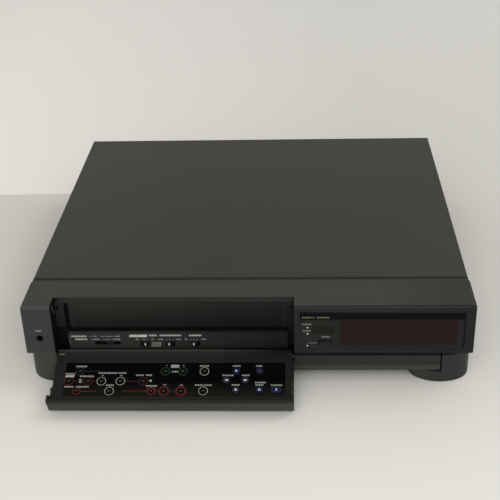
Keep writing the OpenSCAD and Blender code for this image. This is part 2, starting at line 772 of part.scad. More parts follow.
module operate_button() {
    y = window_back + window_rim;
    color([0.12, 0.12, 0.13]) at_front() union() {
        slab([power_x - power_w / 2, power_x + power_w / 2], [window_y - 0.1, y + 0.5],
            [power_z - power_h / 2, power_z + power_h / 2]);
        slab([power_x - power_w / 2 - 2, power_x + power_w / 2 + 2], [y + 0.3, y + 1.5],
            [power_z - power_h / 2 - 2, power_z + power_h / 2 + 2]);
    }
}

// Flap, drawn shut and then turned open about its hinge
module opened() {
    at_front() translate([0, hinge_y, hinge_z]) rotate([flap_angle, 0, 0])
        translate([0, -hinge_y, -hinge_z]) children();
}

body_x0 = flap_x0 + 2.3;
body_x1 = flap_x1 - 2.3;
stud_drop = 18.5;
stud_r = 3.3;

// Section of the moulding: skin, top lip and hinge barrel
module flap_outline() {
    intersection() {
        round_square([0, lip_d + 10], [hinge_z - 20, body_h], edge_r);
        union() {
            translate([0, hinge_z]) square([flap_skin, body_h - hinge_z]);
            translate([0, body_h - flap_skin]) square([lip_d, flap_skin]);
            translate([hinge_y, hinge_z]) circle(r = hinge_y);
        }
    }
}

module flap() {
    color([0.24, 0.25, 0.24]) opened() union() {
        difference() {
            along_x([flap_x0, flap_x1]) flap_outline();
            // The lower left corner is relieved to pass the foot
            slab([flap_x0 - 1, -notch_x + rail_end_gap / 2], [-1, 9], [hinge_z - 9, face_z + 0.6]);
        }
        for (x0 = [flap_x0, flap_x1 - 2.3])
            slab([x0, x0 + 2.3], [flap_skin - eps, lip_d], [body_h - cheek_h, body_h - flap_skin + eps]);
        // Round catch studs behind the skin's ends
        for (x0 = [flap_x0 + 0.2, body_x1])
            rod_x([x0, x0 + 2.1], flap_skin + stud_r - 0.4, body_h - stud_drop, stud_r);
        // Hinge pins moulded onto the barrel's ends
        rod_x([-notch_x - 6, -notch_x + 3], hinge_y, hinge_z, pin_r);
        rod_x([flap_x1 - 3, open_x1 + 6.5], hinge_y, hinge_z, pin_r);
    }
}

cover_plate_t = 2;
cover_heel = 3.9;
cover_z1 = body_h - 6;
cover_z0 = hinge_z - cover_heel;

module flap_inner_cover() {
    y0 = flap_t - cover_plate_t;
    barrel_top = hinge_z + hinge_y;
    color([0.13, 0.13, 0.13]) opened() difference() {
        union() {
            slab([body_x0, body_x1], [y0, flap_t], [cover_z0, cover_z1]);
            difference() {
                slab([body_x0, body_x1], [flap_skin, y0 + eps], [barrel_top + 0.3, cover_z1]);
                slab([body_x0 + 2, body_x1 - 2], [flap_skin - 1, y0 + 1], [barrel_top + 2.3, cover_z1 - 2]);
            }
            // Small bosses over the hinge pins
            for (x = [body_x0 + 3.8, body_x1 - 2.4])
                slab([x - 3.2, x + 3.2], [flap_t - eps, flap_t + 0.7], [hinge_z + 0.4, hinge_z + 2.6]);
        }
        // Rebate for the control plate
        slab([plate_x0 - 0.1, plate_x1 + 0.1], [flap_t - plate_t, flap_t + 1], [plate_z0 - 0.1, plate_z1 + 0.1]);
        key_holes();
    }
}

// Glossy control plate set into the inner cover
plate_t = 0.8;
plate_left = 106.8;
plate_right = 103.4;
plate_low = 47.5;
plate_high = 10.5;
plate_x0 = slot_x - plate_left;
plate_x1 = slot_x + plate_right;
plate_z0 = body_h - plate_low;
plate_z1 = body_h - plate_high;

module control_plate() {
    color([0.04, 0.04, 0.05]) opened() difference() {
        slab([plate_x0, plate_x1], [flap_t - plate_t, flap_t], [plate_z0, plate_z1]);
        key_holes();
    }
}

// Keys, placed by their distance from the slot's middle and from the top
clock_at = [-92.8, 38.1];
program_at = [-102.6, 27.4];
date_at = [-84.2, 27.4];
timer_at = [-94, 16.8];
tracking_down_at = [-71.3, 27.4];
tracking_up_at = [-53.1, 27.4];
tracking_auto_at = [-62.8, 16.8];
index_at = [-31.3, 27.4];
memory_at = [-23, 16.8];
channel_down_at = [-10.9, 16.8];
channel_up_at = [5.2, 16.8];
minus_at = [-10.8, 38.1];
plus_at = [5.9, 38.1];
input_at = [26.5, 38.1];
counter_at = [26.2, 17.1];
rewind_at = [47.8, 28.3];
play_at = [57.2, 38.4];
forward_at = [65.8, 28.3];
stop_at = [57, 18.1];
record_at = [79.1, 38.4];
pause_at = [79.2, 18.1];
eject_at = [95.1, 18.1];

large_keys = [clock_at, program_at, date_at, tracking_down_at, tracking_up_at,
    tracking_auto_at, index_at, channel_down_at, channel_up_at, minus_at, plus_at,
    input_at, counter_at];
small_keys = [timer_at, memory_at];
tape_keys = [rewind_at, play_at, forward_at, stop_at, record_at, pause_at];

// Upright cylinder on the shut flap, from one depth to another
module key_rod(at, y, r) {
    rod_y(slot_x + at[0], y, body_h - at[1], r);
}

// Oval prism of the eject key
module key_oval(at, y, grow) {
    b = eject_b + grow;
    run = eject_a - eject_b;
    for (side = [-1, 1]) key_rod([at[0] + side * run, at[1]], y, b);
    slab([slot_x + at[0] - run, slot_x + at[0] + run], y, [body_h - at[1] - b, body_h - at[1] + b]);
}

module key_holes() {
    y = [flap_t - cover_plate_t - 1, flap_t + 1];
    for (at = large_keys) key_rod(at, y, key_r + key_gap);
    for (at = small_keys) key_rod(at, y, small_key_r + key_gap);
    for (at = tape_keys) key_rod(at, y, tape_key_r + key_gap);
    key_oval(eject_at, y, key_gap);
}

flange_y1 = flap_t - cover_plate_t - 0.3;
flange_y0 = flange_y1 - 0.9;

// Round key: cap with a bevelled, dished top, and a flange that holds it in
module round_key(at, r) {
    top = flap_t + key_proud;
    opened() translate([slot_x + at[0], 0, body_h - at[1]]) rotate([-90, 0, 0]) difference() {
        union() {
            translate([0, 0, flange_y0]) cylinder(r = r + 0.7, h = flange_y1 - flange_y0);
            translate([0, 0, flange_y1 - eps]) cylinder(r = r, h = top - 0.3 - flange_y1 + eps);
            translate([0, 0, top - 0.3 - eps]) cylinder(r1 = r, r2 = r - 0.3, h = 0.3 + eps);
        }
        translate([0, 0, top + 2.4 * r - 0.35]) sphere(r = 2.4 * r);
    }
}

module eject_shape(at) {
    top = flap_t + key_proud;
    opened() union() {
        key_oval(at, [flange_y0, flange_y1], 0.7);
        key_oval(at, [flange_y1 - eps, top - 0.3], 0);
        key_oval(at, [top - 0.3 - eps, top], -0.3);
    }
}

module clock_key() { color([0.3, 0.33, 0.42]) round_key(clock_at, key_r); }
module program_key() { color([0.3, 0.12, 0.12]) round_key(program_at, key_r); }
module date_key() { color([0.3, 0.12, 0.12]) round_key(date_at, key_r); }
module timer_key() { color([0.5, 0.18, 0.1]) round_key(timer_at, small_key_r); }
module tracking_down_key() { color([0.2, 0.2, 0.2]) round_key(tracking_down_at, key_r); }
module tracking_up_key() { color([0.2, 0.2, 0.2]) round_key(tracking_up_at, key_r); }
module tracking_auto_key() { color([0.2, 0.2, 0.2]) round_key(tracking_auto_at, key_r); }
module index_key() { color([0.3, 0.12, 0.12]) round_key(index_at, key_r); }
module memory_key() { color([0.5, 0.15, 0.12]) round_key(memory_at, small_key_r); }
module channel_down_key() { color([0.4, 0.12, 0.1]) round_key(channel_down_at, key_r); }
module channel_up_key() { color([0.4, 0.12, 0.1]) round_key(channel_up_at, key_r); }
module minus_key() { color([0.12, 0.3, 0.2]) round_key(minus_at, key_r); }
module plus_key() { color([0.12, 0.3, 0.2]) round_key(plus_at, key_r); }
module input_key() { color([0.2, 0.2, 0.2]) round_key(input_at, key_r); }
module counter_key() { color([0.2, 0.2, 0.2]) round_key(counter_at, key_r); }
module rewind_key() { color([0.3, 0.35, 0.6]) round_key(rewind_at, tape_key_r); }
module play_key() { color([0.3, 0.35, 0.6]) round_key(play_at, tape_key_r); }
module forward_key() { color([0.3, 0.35, 0.6]) round_key(forward_at, tape_key_r); }
module stop_key() { color([0.3, 0.35, 0.6]) round_key(stop_at, tape_key_r); }
module record_key() { color([0.35, 0.25, 0.5]) round_key(record_at, tape_key_r); }
module pause_key() { color([0.3, 0.35, 0.6]) round_key(pause_at, tape_key_r); }
module eject_key() { color([0.3, 0.35, 0.6]) eject_shape(eject_at); }

// Key board inside the flap, with one small switch under each key
board_t = 1.2;

module flap_board() {
    color([0.25, 0.35, 0.2]) opened() union() {
        slab([plate_x0 + 2, plate_x1 - 2], [flap_skin, flap_skin + board_t], [plate_z0 + 2, plate_z1 - 2]);
        for (at = concat(large_keys, small_keys, tape_keys, [eject_at]))
            slab([slot_x + at[0] - 2.2, slot_x + at[0] + 2.2], [flap_skin + board_t - eps, flap_skin + board_t + 0.5],
                [body_h - at[1] - 2.2, body_h - at[1] + 2.2]);
    }
}

// Tape mechanism

// Deck with its posts, reel shafts and bearing tower
reel_xs = [slot_x - reel_pitch / 2, slot_x + reel_pitch / 2];
reel_shaft_r = 2.5;
reel_z = deck_top + 1.5;
capstan_r = 2;
pinch_r = 7;
pinch_lean = 25;
pinch_reach = [23.2, 20.6];
pinch_post_h = 30;
pinch_pivot = [capstan_x + pinch_reach[0], capstan_y + pinch_reach[1]];
frame_x = cradle_in + cradle_wall + 3.4;
deck_rim = 12.9;
deck_ends = [4, 14];
leg_in = 8;
leg_r = 4.5;
// Room round the transformer, for the deck and its rear legs
core_gap = 6;
core_front = rear_y - core_back - max(core_d, coil_d) / 2 - core_gap;
core_side = core_in - pan_x + max(core_w, coil_w) / 2 + core_gap;
track_x = 46;
track_w = 8;
track_ends = [40, 10];

deck_xs = [slot_x - frame_x - deck_rim, slot_x + frame_x + deck_rim];
deck_ys = [cradle_y + deck_ends[0], drum_y + drum_r + deck_ends[1]];

module deck_plate() {
    color([0.6, 0.62, 0.63]) at_front() difference() {
        slab(deck_xs, deck_ys, [deck_z, deck_top]);
        rod_z(capstan_x, capstan_y, [deck_z - 1, deck_top + 1], 4);
        // Openings for the threading arms' tracks
        for (side = [-1, 1])
            slab([drum_x + side * track_x - track_w / 2, drum_x + side * track_x + track_w / 2],
                [reel_y + track_ends[0], drum_y + track_ends[1]], [deck_z - 1, deck_top + 1]);
        slab([slot_x - 14, slot_x + 14], [cradle_y + 20, reel_y + 20], [deck_z - 1, deck_top + 1]);
        // The deck stops short of the transformer
        slab([deck_xs[0] - 1, core_side], [core_front, core_front + through], [deck_z - 1, deck_top + 1]);
    }
}

// Legs under the deck, and the turned posts that stand on it
module deck_posts() {
    color([0.7, 0.7, 0.7]) at_front() {
        for (px = [deck_xs[0] + leg_in, deck_xs[1] - leg_in])
            for (py = [deck_ys[0] + leg_in, min(deck_ys[1], core_front) - leg_in])
                rod_z(px, py, [base_top, deck_z], leg_r);
        for (rx = reel_xs) rod_z(rx, reel_y, [deck_top, deck_top + 13], reel_shaft_r);
        difference() {
            rod_z(capstan_x, capstan_y, [deck_top, deck_top + 7], 6);
            rod_z(capstan_x, capstan_y, [deck_top - 1, deck_top + 8], capstan_r + run_fit);
        }
        rod_z(pinch_pivot[0], pinch_pivot[1], [deck_top, deck_top + pinch_post_h], 2.2);
    }
}

// Both drum halves lean together about the drum's foot
drum_foot_z = deck_top + 4;
drum_low_h = 13;
drum_up_h = 16;
drum_shaft_r = 3;

module leaned() {
    at_front() translate([drum_x, drum_y, drum_foot_z]) rotate([drum_tilt, 0, 0]) children();
}

module lower_drum() {
    color([0.72, 0.73, 0.74]) difference() {
        union() {
            at_front() rod_z(drum_x, drum_y, [deck_top, drum_foot_z + 5], drum_r - 10);
            leaned() rotate_extrude($fn = fine)
                polygon([[0, 0], [drum_r - 4, 0], [drum_r - 4, 2], [drum_r, 2], [drum_r, drum_low_h], [0, drum_low_h]]);
        }
        leaned() translate([0, 0, 2]) cylinder(r = drum_shaft_r + run_fit, h = through);
    }
}

module upper_drum() {
    z0 = drum_low_h + 0.3;
    color([0.78, 0.79, 0.8]) leaned() difference() {
        union() {
            translate([0, 0, z0]) rotate_extrude($fn = fine) polygon([[0, 0], [drum_r, 0],
                [drum_r, drum_up_h - 1], [drum_r - 1, drum_up_h], [drum_r - 7, drum_up_h],
                [drum_r - 8, drum_up_h - 3], [13, drum_up_h - 3], [12, drum_up_h + 2], [0, drum_up_h + 2]]);
            translate([0, 0, 3]) cylinder(r = drum_shaft_r, h = z0 - 3 + eps);
        }
        // Windows for the four heads, at the lower edge
        for (turn = [0:90:270]) rotate(turn)
            translate([drum_r - 2.5, -2.5, z0 - 1]) cube([4, 5, 3]);
    }
}

module capstan() {
    color([0.66, 0.66, 0.68]) at_front() union() {
        rod_z(capstan_x, capstan_y, [base_top + 3, deck_top + 34], capstan_r);
        difference() {
            rod_z(capstan_x, capstan_y, [base_top + 3.5, deck_z - 2.5], flywheel_r);
            difference() {
                rod_z(capstan_x, capstan_y, [base_top + 6.5, deck_z], flywheel_r - 3);
                rod_z(capstan_x, capstan_y, [base_top, deck_z], 7);
            }
        }
    }
}

// Pinch roller on its arm, held off the capstan at rest
module pinch_arm() {
    z0 = deck_top + 8;
    reach = [9.3 * 0.6 - 23.2, 9.3 * 0.8 - 20.6];
    color([0.2, 0.2, 0.2]) at_front() translate([pinch_pivot[0], pinch_pivot[1], 0])
        rotate(-pinch_lean) difference() {
            union() {
                rod_z(0, 0, [z0, z0 + 18], 4.5);
                rod_z(reach[0], reach[1], [z0, z0 + 16], pinch_r);
                rod_z(reach[0], reach[1], [z0 + 16 - eps, z0 + 18], 2.2);
                translate([0, 0, z0 + 17]) rotate(atan2(reach[1], reach[0]))
                    translate([3, -3, 0]) cube([norm(reach), 6, 1.6]);
            }
            rod_z(0, 0, [z0 - 1, z0 + 20], 2.2 + run_fit);
        }
}

// Reel table: driven disc with a splined spindle
module reel_table(x) {
    color([0.16, 0.16, 0.17]) at_front() translate([x, reel_y, 0]) difference() {
        union() {
            translate([0, 0, reel_z]) rotate_extrude($fn = fine) polygon([[0, 0], [reel_r, 0], [reel_r, 2.5],
                [reel_r - 1.5, 2.5], [reel_r - 2, 1.6], [13, 1.6], [12.5, 3.4], [10, 3.4], [10, 11], [8, 13.4], [0, 13.4]]);
            for (turn = [0:60:300]) rotate(turn)
                translate([9, -0.9, reel_z + 3]) cube([2.6, 1.8, 8]);
        }
        translate([0, 0, reel_z - 1]) cylinder(r = reel_shaft_r + run_fit, h = 13);
    }
}

module reel_table_left() { reel_table(reel_xs[0]); }
module reel_table_right() { reel_table(reel_xs[1]); }

// Cassette carriage: fixed side plates, a frame that slides in, and a cradle that sinks in it
guide_z = cradle_z + 12;
guide_ys = [cradle_y + 20, cradle_y + 82];
guide_r = 1.6;

module carriage_frame() {
    y = [cradle_y + 2, cradle_y + cradle_len + draw_in + 2];
    color([0.55, 0.57, 0.58]) at_front() for (side = [-1, 1]) {
        x = slot_x + side * frame_x;
        difference() {
            union() {
                slab([x - 0.6, x + 0.6], y, [deck_top, cover_in_z - 8]);
                slab([x + side * 3 - 3, x + side * 3 + 3], y, [deck_top, deck_top + 1.2]);
            }
            for (gy = guide_ys)
                slab([x - 2, x + 2], [gy - guide_r - 0.3, gy + draw_in + guide_r + 0.3],
                    [guide_z - guide_r - 0.3, guide_z + guide_r + 0.3]);
        }
    }
}

module carriage_slider() {
    y = [cradle_y + 6, cradle_y + cradle_len - 8];
    inner = cradle_in + cradle_wall + 0.6;
    top = cover_in_z - 4.5;
    color([0.62, 0.6, 0.5]) at_front() union() {
        for (side = [-1, 1]) {
            x = slot_x + side * (inner + 0.6);
            difference() {
                slab([x - 0.6, x + 0.6], y, [cradle_z - draw_down + 1, top]);
                for (gy = guide_ys)
                    slab([x - 2, x + 2], [gy + 12 - guide_r - 0.3, gy + 12 + guide_r + 0.3],
                        [cradle_z + 6 - draw_down - guide_r - 0.3, cradle_z + 6 + guide_r + 0.3]);
            }
            for (gy = guide_ys)
                rod_x(span(x, x + side * 3.4), gy, guide_z, guide_r);
        }
        slab([slot_x - inner - 1.2, slot_x + inner + 1.2], [y[1] - 14, y[1]], [top - 1.2, top]);
    }
}

module cassette_cradle() {
    z = [cradle_z - cradle_wall, cradle_z];
    y = [cradle_y, cradle_y + cradle_len];
    outer = cradle_in + cradle_wall;
    color([0.5, 0.52, 0.54]) at_front() union() {
        difference() {
            slab([slot_x - outer, slot_x + outer], y, z);
            // Clearance over the reel tables for the whole travel
            for (rx = reel_xs)
                slab([rx - reel_r - 1.5, rx + reel_r + 1.5], [reel_y - draw_in - reel_r - 1.5, reel_y + reel_r + 1.5],
                    [z[0] - 1, z[1] + 1]);
        }
        for (side = [-1, 1]) {
            x = slot_x + side * (outer - cradle_wall / 2);
            slab([x - cradle_wall / 2, x + cradle_wall / 2], y, [z[0], cradle_z + 24.5]);
            slab([x - side * 2 - 2.4, x - side * 2 + 2.4], [y[0] + 8, y[1] - 8], [cradle_z + 25.8 - eps, cradle_z + 27]);
            slab([x - cradle_wall / 2, x + cradle_wall / 2], [y[0] + 8, y[1] - 8], [cradle_z + 24.5 - eps, cradle_z + 27]);
            for (gy = guide_ys)
                rod_x(span(x, x + side * 2.7), gy + 12, cradle_z + 6, guide_r);
        }
    }
}

// Electronics
shield_back = 74;
shield_d = 60;

module main_board() {
    x = [open_x1 + board_side, pan_x - board_rim];
    y = [board_front, rear_y - board_back];
    z = base_top + 5;
    bay = (x[1] - x[0]) / 4.4;
    color([0.2, 0.32, 0.2]) at_front() union() {
        slab(x, y, [z, z + 1.6]);
        for (px = [x[0] + 6, x[1] - 6], py = [y[0] + 6, y[1] - 6]) rod_z(px, py, [base_top, z + eps], 3);
        for (i = [0:3]) {
            rod_z(x[0] + bay * (0.47 + 0.41 * i), y[1] - 22, [z + 1.6 - eps, z + 22], 5);
            slab([x[0] + bay * (0.41 + i), x[0] + bay * (1 + i)], [y[0] + 40, y[0] + 48], [z + 1.6 - eps, z + 5]);
            slab([x[0] + bay * (0.29 + i), x[0] + bay * (1.12 + i)], [y[0] + 90, y[0] + 104], [z + 1.6 - eps, z + 5.4]);
        }
        slab([x[1] - bay * 1.47, x[1] - bay * 0.24], [y[1] - shield_back - shield_d, y[1] - shield_back],
            [z + 1.6 - eps, z + 14]);
    }
}

tab_w = 8;
tab_t = 1.5;

module power_transformer() {
    at = [core_in - pan_x, rear_y - core_back];
    coil_z = base_top + (core_h - coil_h) / 2;
    color([0.35, 0.3, 0.25]) at_front() union() {
        slab([at[0] - core_w / 2, at[0] + core_w / 2], [at[1] - core_d / 2, at[1] + core_d / 2],
            [base_top, base_top + core_h]);
        slab([at[0] - coil_w / 2, at[0] + coil_w / 2], [at[1] - coil_d / 2, at[1] + coil_d / 2],
            [coil_z, coil_z + coil_h]);
        slab([at[0] - core_w / 2 - tab_w, at[0] + core_w / 2 + tab_w], [at[1] - core_d / 3, at[1] + core_d / 3],
            [base_top, base_top + tab_t]);
    }
}

front_panel();
lower_rail();
top_cover();
base_plate();
rear_panel();
rear_feet();
cover_screws();
slot_frame();
display_window();
display_filter();
display_tube();
operate_button();
mic_socket();
cassette_door();
level_slider();
tape_switch();
edit_switch();
system_switch();
flap();
flap_inner_cover();
control_plate();
flap_board();
clock_key();
program_key();
date_key();
timer_key();
tracking_down_key();
tracking_up_key();
tracking_auto_key();
index_key();
memory_key();
channel_down_key();
channel_up_key();
minus_key();
plus_key();
input_key();
counter_key();
rewind_key();
play_key();
forward_key();
stop_key();
record_key();
pause_key();
eject_key();
deck_plate();
deck_posts();
lower_drum();
upper_drum();
capstan();
pinch_arm();
reel_table_left();
reel_table_right();
carriage_frame();
carriage_slider();
cassette_cradle();
main_board();
power_transformer();
mains_inlet();
aerial_sockets();
phono_sockets();
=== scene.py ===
import math

import bmesh
import bpy
from mathutils import Matrix, Vector


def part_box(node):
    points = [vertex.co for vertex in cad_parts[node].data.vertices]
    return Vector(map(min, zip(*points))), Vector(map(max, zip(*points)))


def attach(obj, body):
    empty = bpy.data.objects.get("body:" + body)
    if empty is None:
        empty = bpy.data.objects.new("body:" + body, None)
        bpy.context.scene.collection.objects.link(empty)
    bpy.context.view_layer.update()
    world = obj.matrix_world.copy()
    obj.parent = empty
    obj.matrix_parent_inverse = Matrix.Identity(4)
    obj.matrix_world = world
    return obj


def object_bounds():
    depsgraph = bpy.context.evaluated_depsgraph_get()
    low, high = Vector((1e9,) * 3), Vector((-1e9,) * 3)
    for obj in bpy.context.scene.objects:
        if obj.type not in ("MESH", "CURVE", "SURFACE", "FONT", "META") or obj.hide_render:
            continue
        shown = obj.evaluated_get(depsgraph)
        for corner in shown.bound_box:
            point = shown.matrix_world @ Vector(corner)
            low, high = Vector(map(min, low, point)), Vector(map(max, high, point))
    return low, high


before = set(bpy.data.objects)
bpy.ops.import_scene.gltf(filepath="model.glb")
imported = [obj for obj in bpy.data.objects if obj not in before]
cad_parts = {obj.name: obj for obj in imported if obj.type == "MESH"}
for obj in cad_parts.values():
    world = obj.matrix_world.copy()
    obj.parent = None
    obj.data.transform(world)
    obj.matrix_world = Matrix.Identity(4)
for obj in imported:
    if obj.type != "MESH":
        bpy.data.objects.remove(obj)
cad_low, cad_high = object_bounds()
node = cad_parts

# Viewpoint. A person standing before the table looks down at the recorder, a little from the right;
# the camera stands where the photograph's did, in metres from the middle of the recorder's underside.
view_spot = Vector((0.0501, -0.9797, 0.5950))
view_turn, view_dip, view_lean = -0.0554, 0.5074, -0.0325
ahead = Vector((math.sin(view_turn) * math.cos(view_dip), math.cos(view_turn) * math.cos(view_dip),
                -math.sin(view_dip)))
level = Vector((math.cos(view_turn), -math.sin(view_turn), 0))
above = level.cross(ahead)
side_axis = math.cos(view_lean) * level + math.sin(view_lean) * above
top_axis = math.cos(view_lean) * above - math.sin(view_lean) * level
viewpoint = bpy.data.objects.new("viewpoint", bpy.data.cameras.new("viewpoint"))
viewpoint.data.sensor_width = 36
viewpoint.data.lens = 73.18
viewpoint.data.clip_start, viewpoint.data.clip_end = 0.01, 50
viewpoint.matrix_world = Matrix.Translation(view_spot) @ Matrix(
    (side_axis, top_axis, -ahead)).transposed().to_4x4()
bpy.context.scene.collection.objects.link(viewpoint)
bpy.context.scene.camera = viewpoint
bpy.context.scene.view_settings.view_transform = "Standard"

# Table and wall. The recorder stands on a pale painted table pushed against a pale wall. One wide
# sheet shows both, with the line where they meet drawn across it, so nothing stands behind the
# recorder. Light and shade are painted into the sheet: it is lighter towards the front of the table
# and the left of the wall, and the wall is darker at its foot on the right.


def paint(red, green, blue):
    """A colour as it looks on the surface, 0 to 255, in the linear values that a shader takes."""
    return tuple((c / 255 / 12.92) if c < 10.3 else ((c / 255 + 0.055) / 1.055) ** 2.4
                 for c in (red, green, blue)) + (1,)


def shader_of(material):
    """The surface shader of a new material."""
    material.use_nodes = True
    return material.node_tree.nodes["Principled BSDF"]


def add_node(material, kind, **settings):
    """A node of the material, with its own sockets set by name."""
    made = material.node_tree.nodes.new(kind)
    for name, value in settings.items():
        made.inputs[name.replace("_", " ")].default_value = value
    return made


def wire(material, start, end):
    """Joins an output socket to an input socket."""
    material.node_tree.links.new(start, end)


def axes_of(material):
    """The X, Y and Z of a point on the piece at rest, in metres."""
    place = add_node(material, "ShaderNodeTexCoord")
    axes = add_node(material, "ShaderNodeSeparateXYZ")
    wire(material, place.outputs["Object"], axes.inputs[0])
    return axes.outputs


def fade(material, source, start, end):
    """Goes evenly from 0 to 1 while the source goes from start to end."""
    ramp = add_node(material, "ShaderNodeMapRange", From_Min=start, From_Max=end)
    wire(material, source, ramp.inputs["Value"])
    return ramp.outputs[0]


def product(material, first, second):
    """Multiplies one node's output by another's."""
    times = add_node(material, "ShaderNodeMath")
    times.operation = "MULTIPLY"
    wire(material, first, times.inputs[0])
    wire(material, second, times.inputs[1])
    return times.outputs[0]


def mixed(material, amount, first, second, way="MIX"):
    """Goes from the first colour to the second; either may be a colour or a node's output."""
    mix = add_node(material, "ShaderNodeMix")
    mix.data_type, mix.blend_type = "RGBA", way
    for socket, value in ((mix.inputs[0], amount), (mix.inputs[6], first), (mix.inputs[7], second)):
        if isinstance(value, (tuple, float)):
            socket.default_value = value
        else:
            wire(material, value, socket)
    return mix.outputs[2]


wall_start, wall_slope, line_soft = 0.2559, 0.0269, 0.002
table_finish = bpy.data.materials.new("table_and_wall")
table_face = shader_of(table_finish)
table_face.inputs["Roughness"].default_value = 0.75
table_face.inputs["Specular IOR Level"].default_value = 0.15
sheet_axes = axes_of(table_finish)
slope = add_node(table_finish, "ShaderNodeMath")
slope.operation = "MULTIPLY_ADD"
slope.inputs[1].default_value = -wall_slope
wire(table_finish, sheet_axes["X"], slope.inputs[0])
wire(table_finish, sheet_axes["Y"], slope.inputs[2])
on_wall = fade(table_finish, slope.outputs[0], wall_start - line_soft, wall_start + line_soft)
# Painted light and shade: the table darkens towards the wall; the wall is lighter on the left and
# darker at its foot on the right.
table_tone_and_light = mixed(table_finish, fade(table_finish, sheet_axes["Y"], -0.45, 0.1),
                   paint(224, 223, 218), paint(208, 206, 200))
wall_tone_and_light = mixed(table_finish, fade(table_finish, sheet_axes["X"], -0.45, 0.15), paint(238, 236, 231),
                  mixed(table_finish, fade(table_finish, sheet_axes["Y"], 0.26, 1.1),
                        paint(207, 206, 200), paint(221, 220, 215)))
clouding = add_node(table_finish, "ShaderNodeTexNoise", Scale=1.3, Detail=2.0)
clouded = mixed(table_finish, 0.05, mixed(table_finish, on_wall, table_tone_and_light, wall_tone_and_light),
                clouding.outputs["Fac"], "MULTIPLY")
wire(table_finish, clouded, table_face.inputs["Base Color"])
table_mesh = bpy.data.meshes.new("table")
table_reach = 6
corners = [(table_reach * x, table_reach * y, 0) for x, y in ((-1, -1), (1, -1), (1, 1), (-1, 1))]
table_mesh.from_pydata(corners, [], [(0, 1, 2, 3)])
table = bpy.data.objects.new("table", table_mesh)
table.data.materials.append(table_finish)
bpy.context.scene.collection.objects.link(table)

# Daylight. The room is lit by an even sky, a wide window in front and a weaker one above, so that the
# shadows are soft and short.
sky = bpy.data.worlds.new("sky")
sky.use_nodes = True
sky.node_tree.nodes["Background"].inputs["Color"].default_value = (1.0, 0.99, 0.965, 1)
sky.node_tree.nodes["Background"].inputs["Strength"].default_value = 0.67
bpy.context.scene.world = sky


def window_light(name, spot, target, size, power, tone):
    """A wide soft lamp that shines from a spot towards a target."""
    lamp = bpy.data.lights.new(name, "AREA")
    lamp.shape, lamp.size, lamp.size_y = "RECTANGLE", size[0], size[1]
    lamp.energy, lamp.color = power, tone
    holder = bpy.data.objects.new(name, lamp)
    holder.location = spot
    holder.rotation_euler = (Vector(target) - Vector(spot)).to_track_quat("-Z", "Y").to_euler()
    bpy.context.scene.collection.objects.link(holder)


window_light("window_front", (0.0, -2.05, 1.25), (0, 0, 0), (2.4, 1.5), 33, (1.0, 0.99, 0.96))
window_light("window_right", (1.7, 0.3, 2.0), (0, 0, 0), (1.2, 1.2), 12, (0.98, 0.99, 1.0))

# Charcoal mouldings: the front panel with its oval feet, the rail between them, the flap's outer
# shell and the operate button. Injection-moulded styrene with a fine spark-eroded grain; handling
# has rubbed the edges a little lighter.


def grained(name, tone, roughness, grain=2600.0, depth=0.05, change=0.12, sheen=0.25, blotch=9.0,
            wear_and_edge_light=0.0, dust=0.0, metal=0.0):
    """A material with a fine grain, a slow unevenness, edges made lighter as wear and as painted
    highlight, and specks of dust.
    """
    material = bpy.data.materials.new(name)
    surface = shader_of(material)
    surface.inputs["Roughness"].default_value = roughness
    surface.inputs["Specular IOR Level"].default_value = sheen
    surface.inputs["Metallic"].default_value = metal
    where = add_node(material, "ShaderNodeTexCoord")
    fine = add_node(material, "ShaderNodeTexNoise", Scale=grain, Detail=3.0, Roughness=0.6)
    slow = add_node(material, "ShaderNodeTexNoise", Scale=blotch, Detail=4.0, Roughness=0.55)
    wire(material, where.outputs["Object"], fine.inputs["Vector"])
    wire(material, where.outputs["Object"], slow.inputs["Vector"])
    fine_share = 0.35
    both = add_node(material, "ShaderNodeMix")
    both.inputs[0].default_value = fine_share
    wire(material, slow.outputs["Fac"], both.inputs[2])
    wire(material, fine.outputs["Fac"], both.inputs[3])
    shade = mixed(material, fade(material, both.outputs[0], 0.3, 0.7),
                  tuple(c * (1 - change) for c in tone[:3]) + (1,),
                  tuple(c * (1 + change) for c in tone[:3]) + (1,))
    # Lighter edges stand for wear, and also for painted highlight where light catches an edge.
    if wear_and_edge_light:
        rounded = add_node(material, "ShaderNodeBevel", Radius=0.0006)
        rounded.samples = 4
        flat = add_node(material, "ShaderNodeNewGeometry")
        turn = add_node(material, "ShaderNodeVectorMath")
        turn.operation = "DOT_PRODUCT"
        wire(material, rounded.outputs["Normal"], turn.inputs[0])
        wire(material, flat.outputs["Normal"], turn.inputs[1])
        rubbed_and_lit = tuple(min(1, c * (1 + wear_and_edge_light) + 0.01 * wear_and_edge_light) for c in tone[:3]) + (1,)
        shade = mixed(material, fade(material, turn.outputs["Value"], 0.99, 0.8), shade, rubbed_and_lit)
    if dust:
        specks = add_node(material, "ShaderNodeTexVoronoi", Scale=95.0)
        wire(material, where.outputs["Object"], specks.inputs["Vector"])
        here = fade(material, specks.outputs["Distance"], 0.06, 0.03)
        patchy = fade(material, slow.outputs["Fac"], 0.45, 0.7)
        shade = mixed(material, product(material, here, patchy), shade, paint(dust, dust, dust * 0.95))
    wire(material, shade, surface.inputs["Base Color"])
    if depth:
        relief = add_node(material, "ShaderNodeBump", Strength=depth, Distance=0.0002)
        wire(material, fine.outputs["Fac"], relief.inputs["Height"])
        wire(material, relief.outputs["Normal"], surface.inputs["Normal"])
    return material


def finish_nodes(material, *names):
    """Gives CAD nodes their finish."""
    for name in names:
        node[name].data.materials.clear()
        node[name].data.materials.append(material)


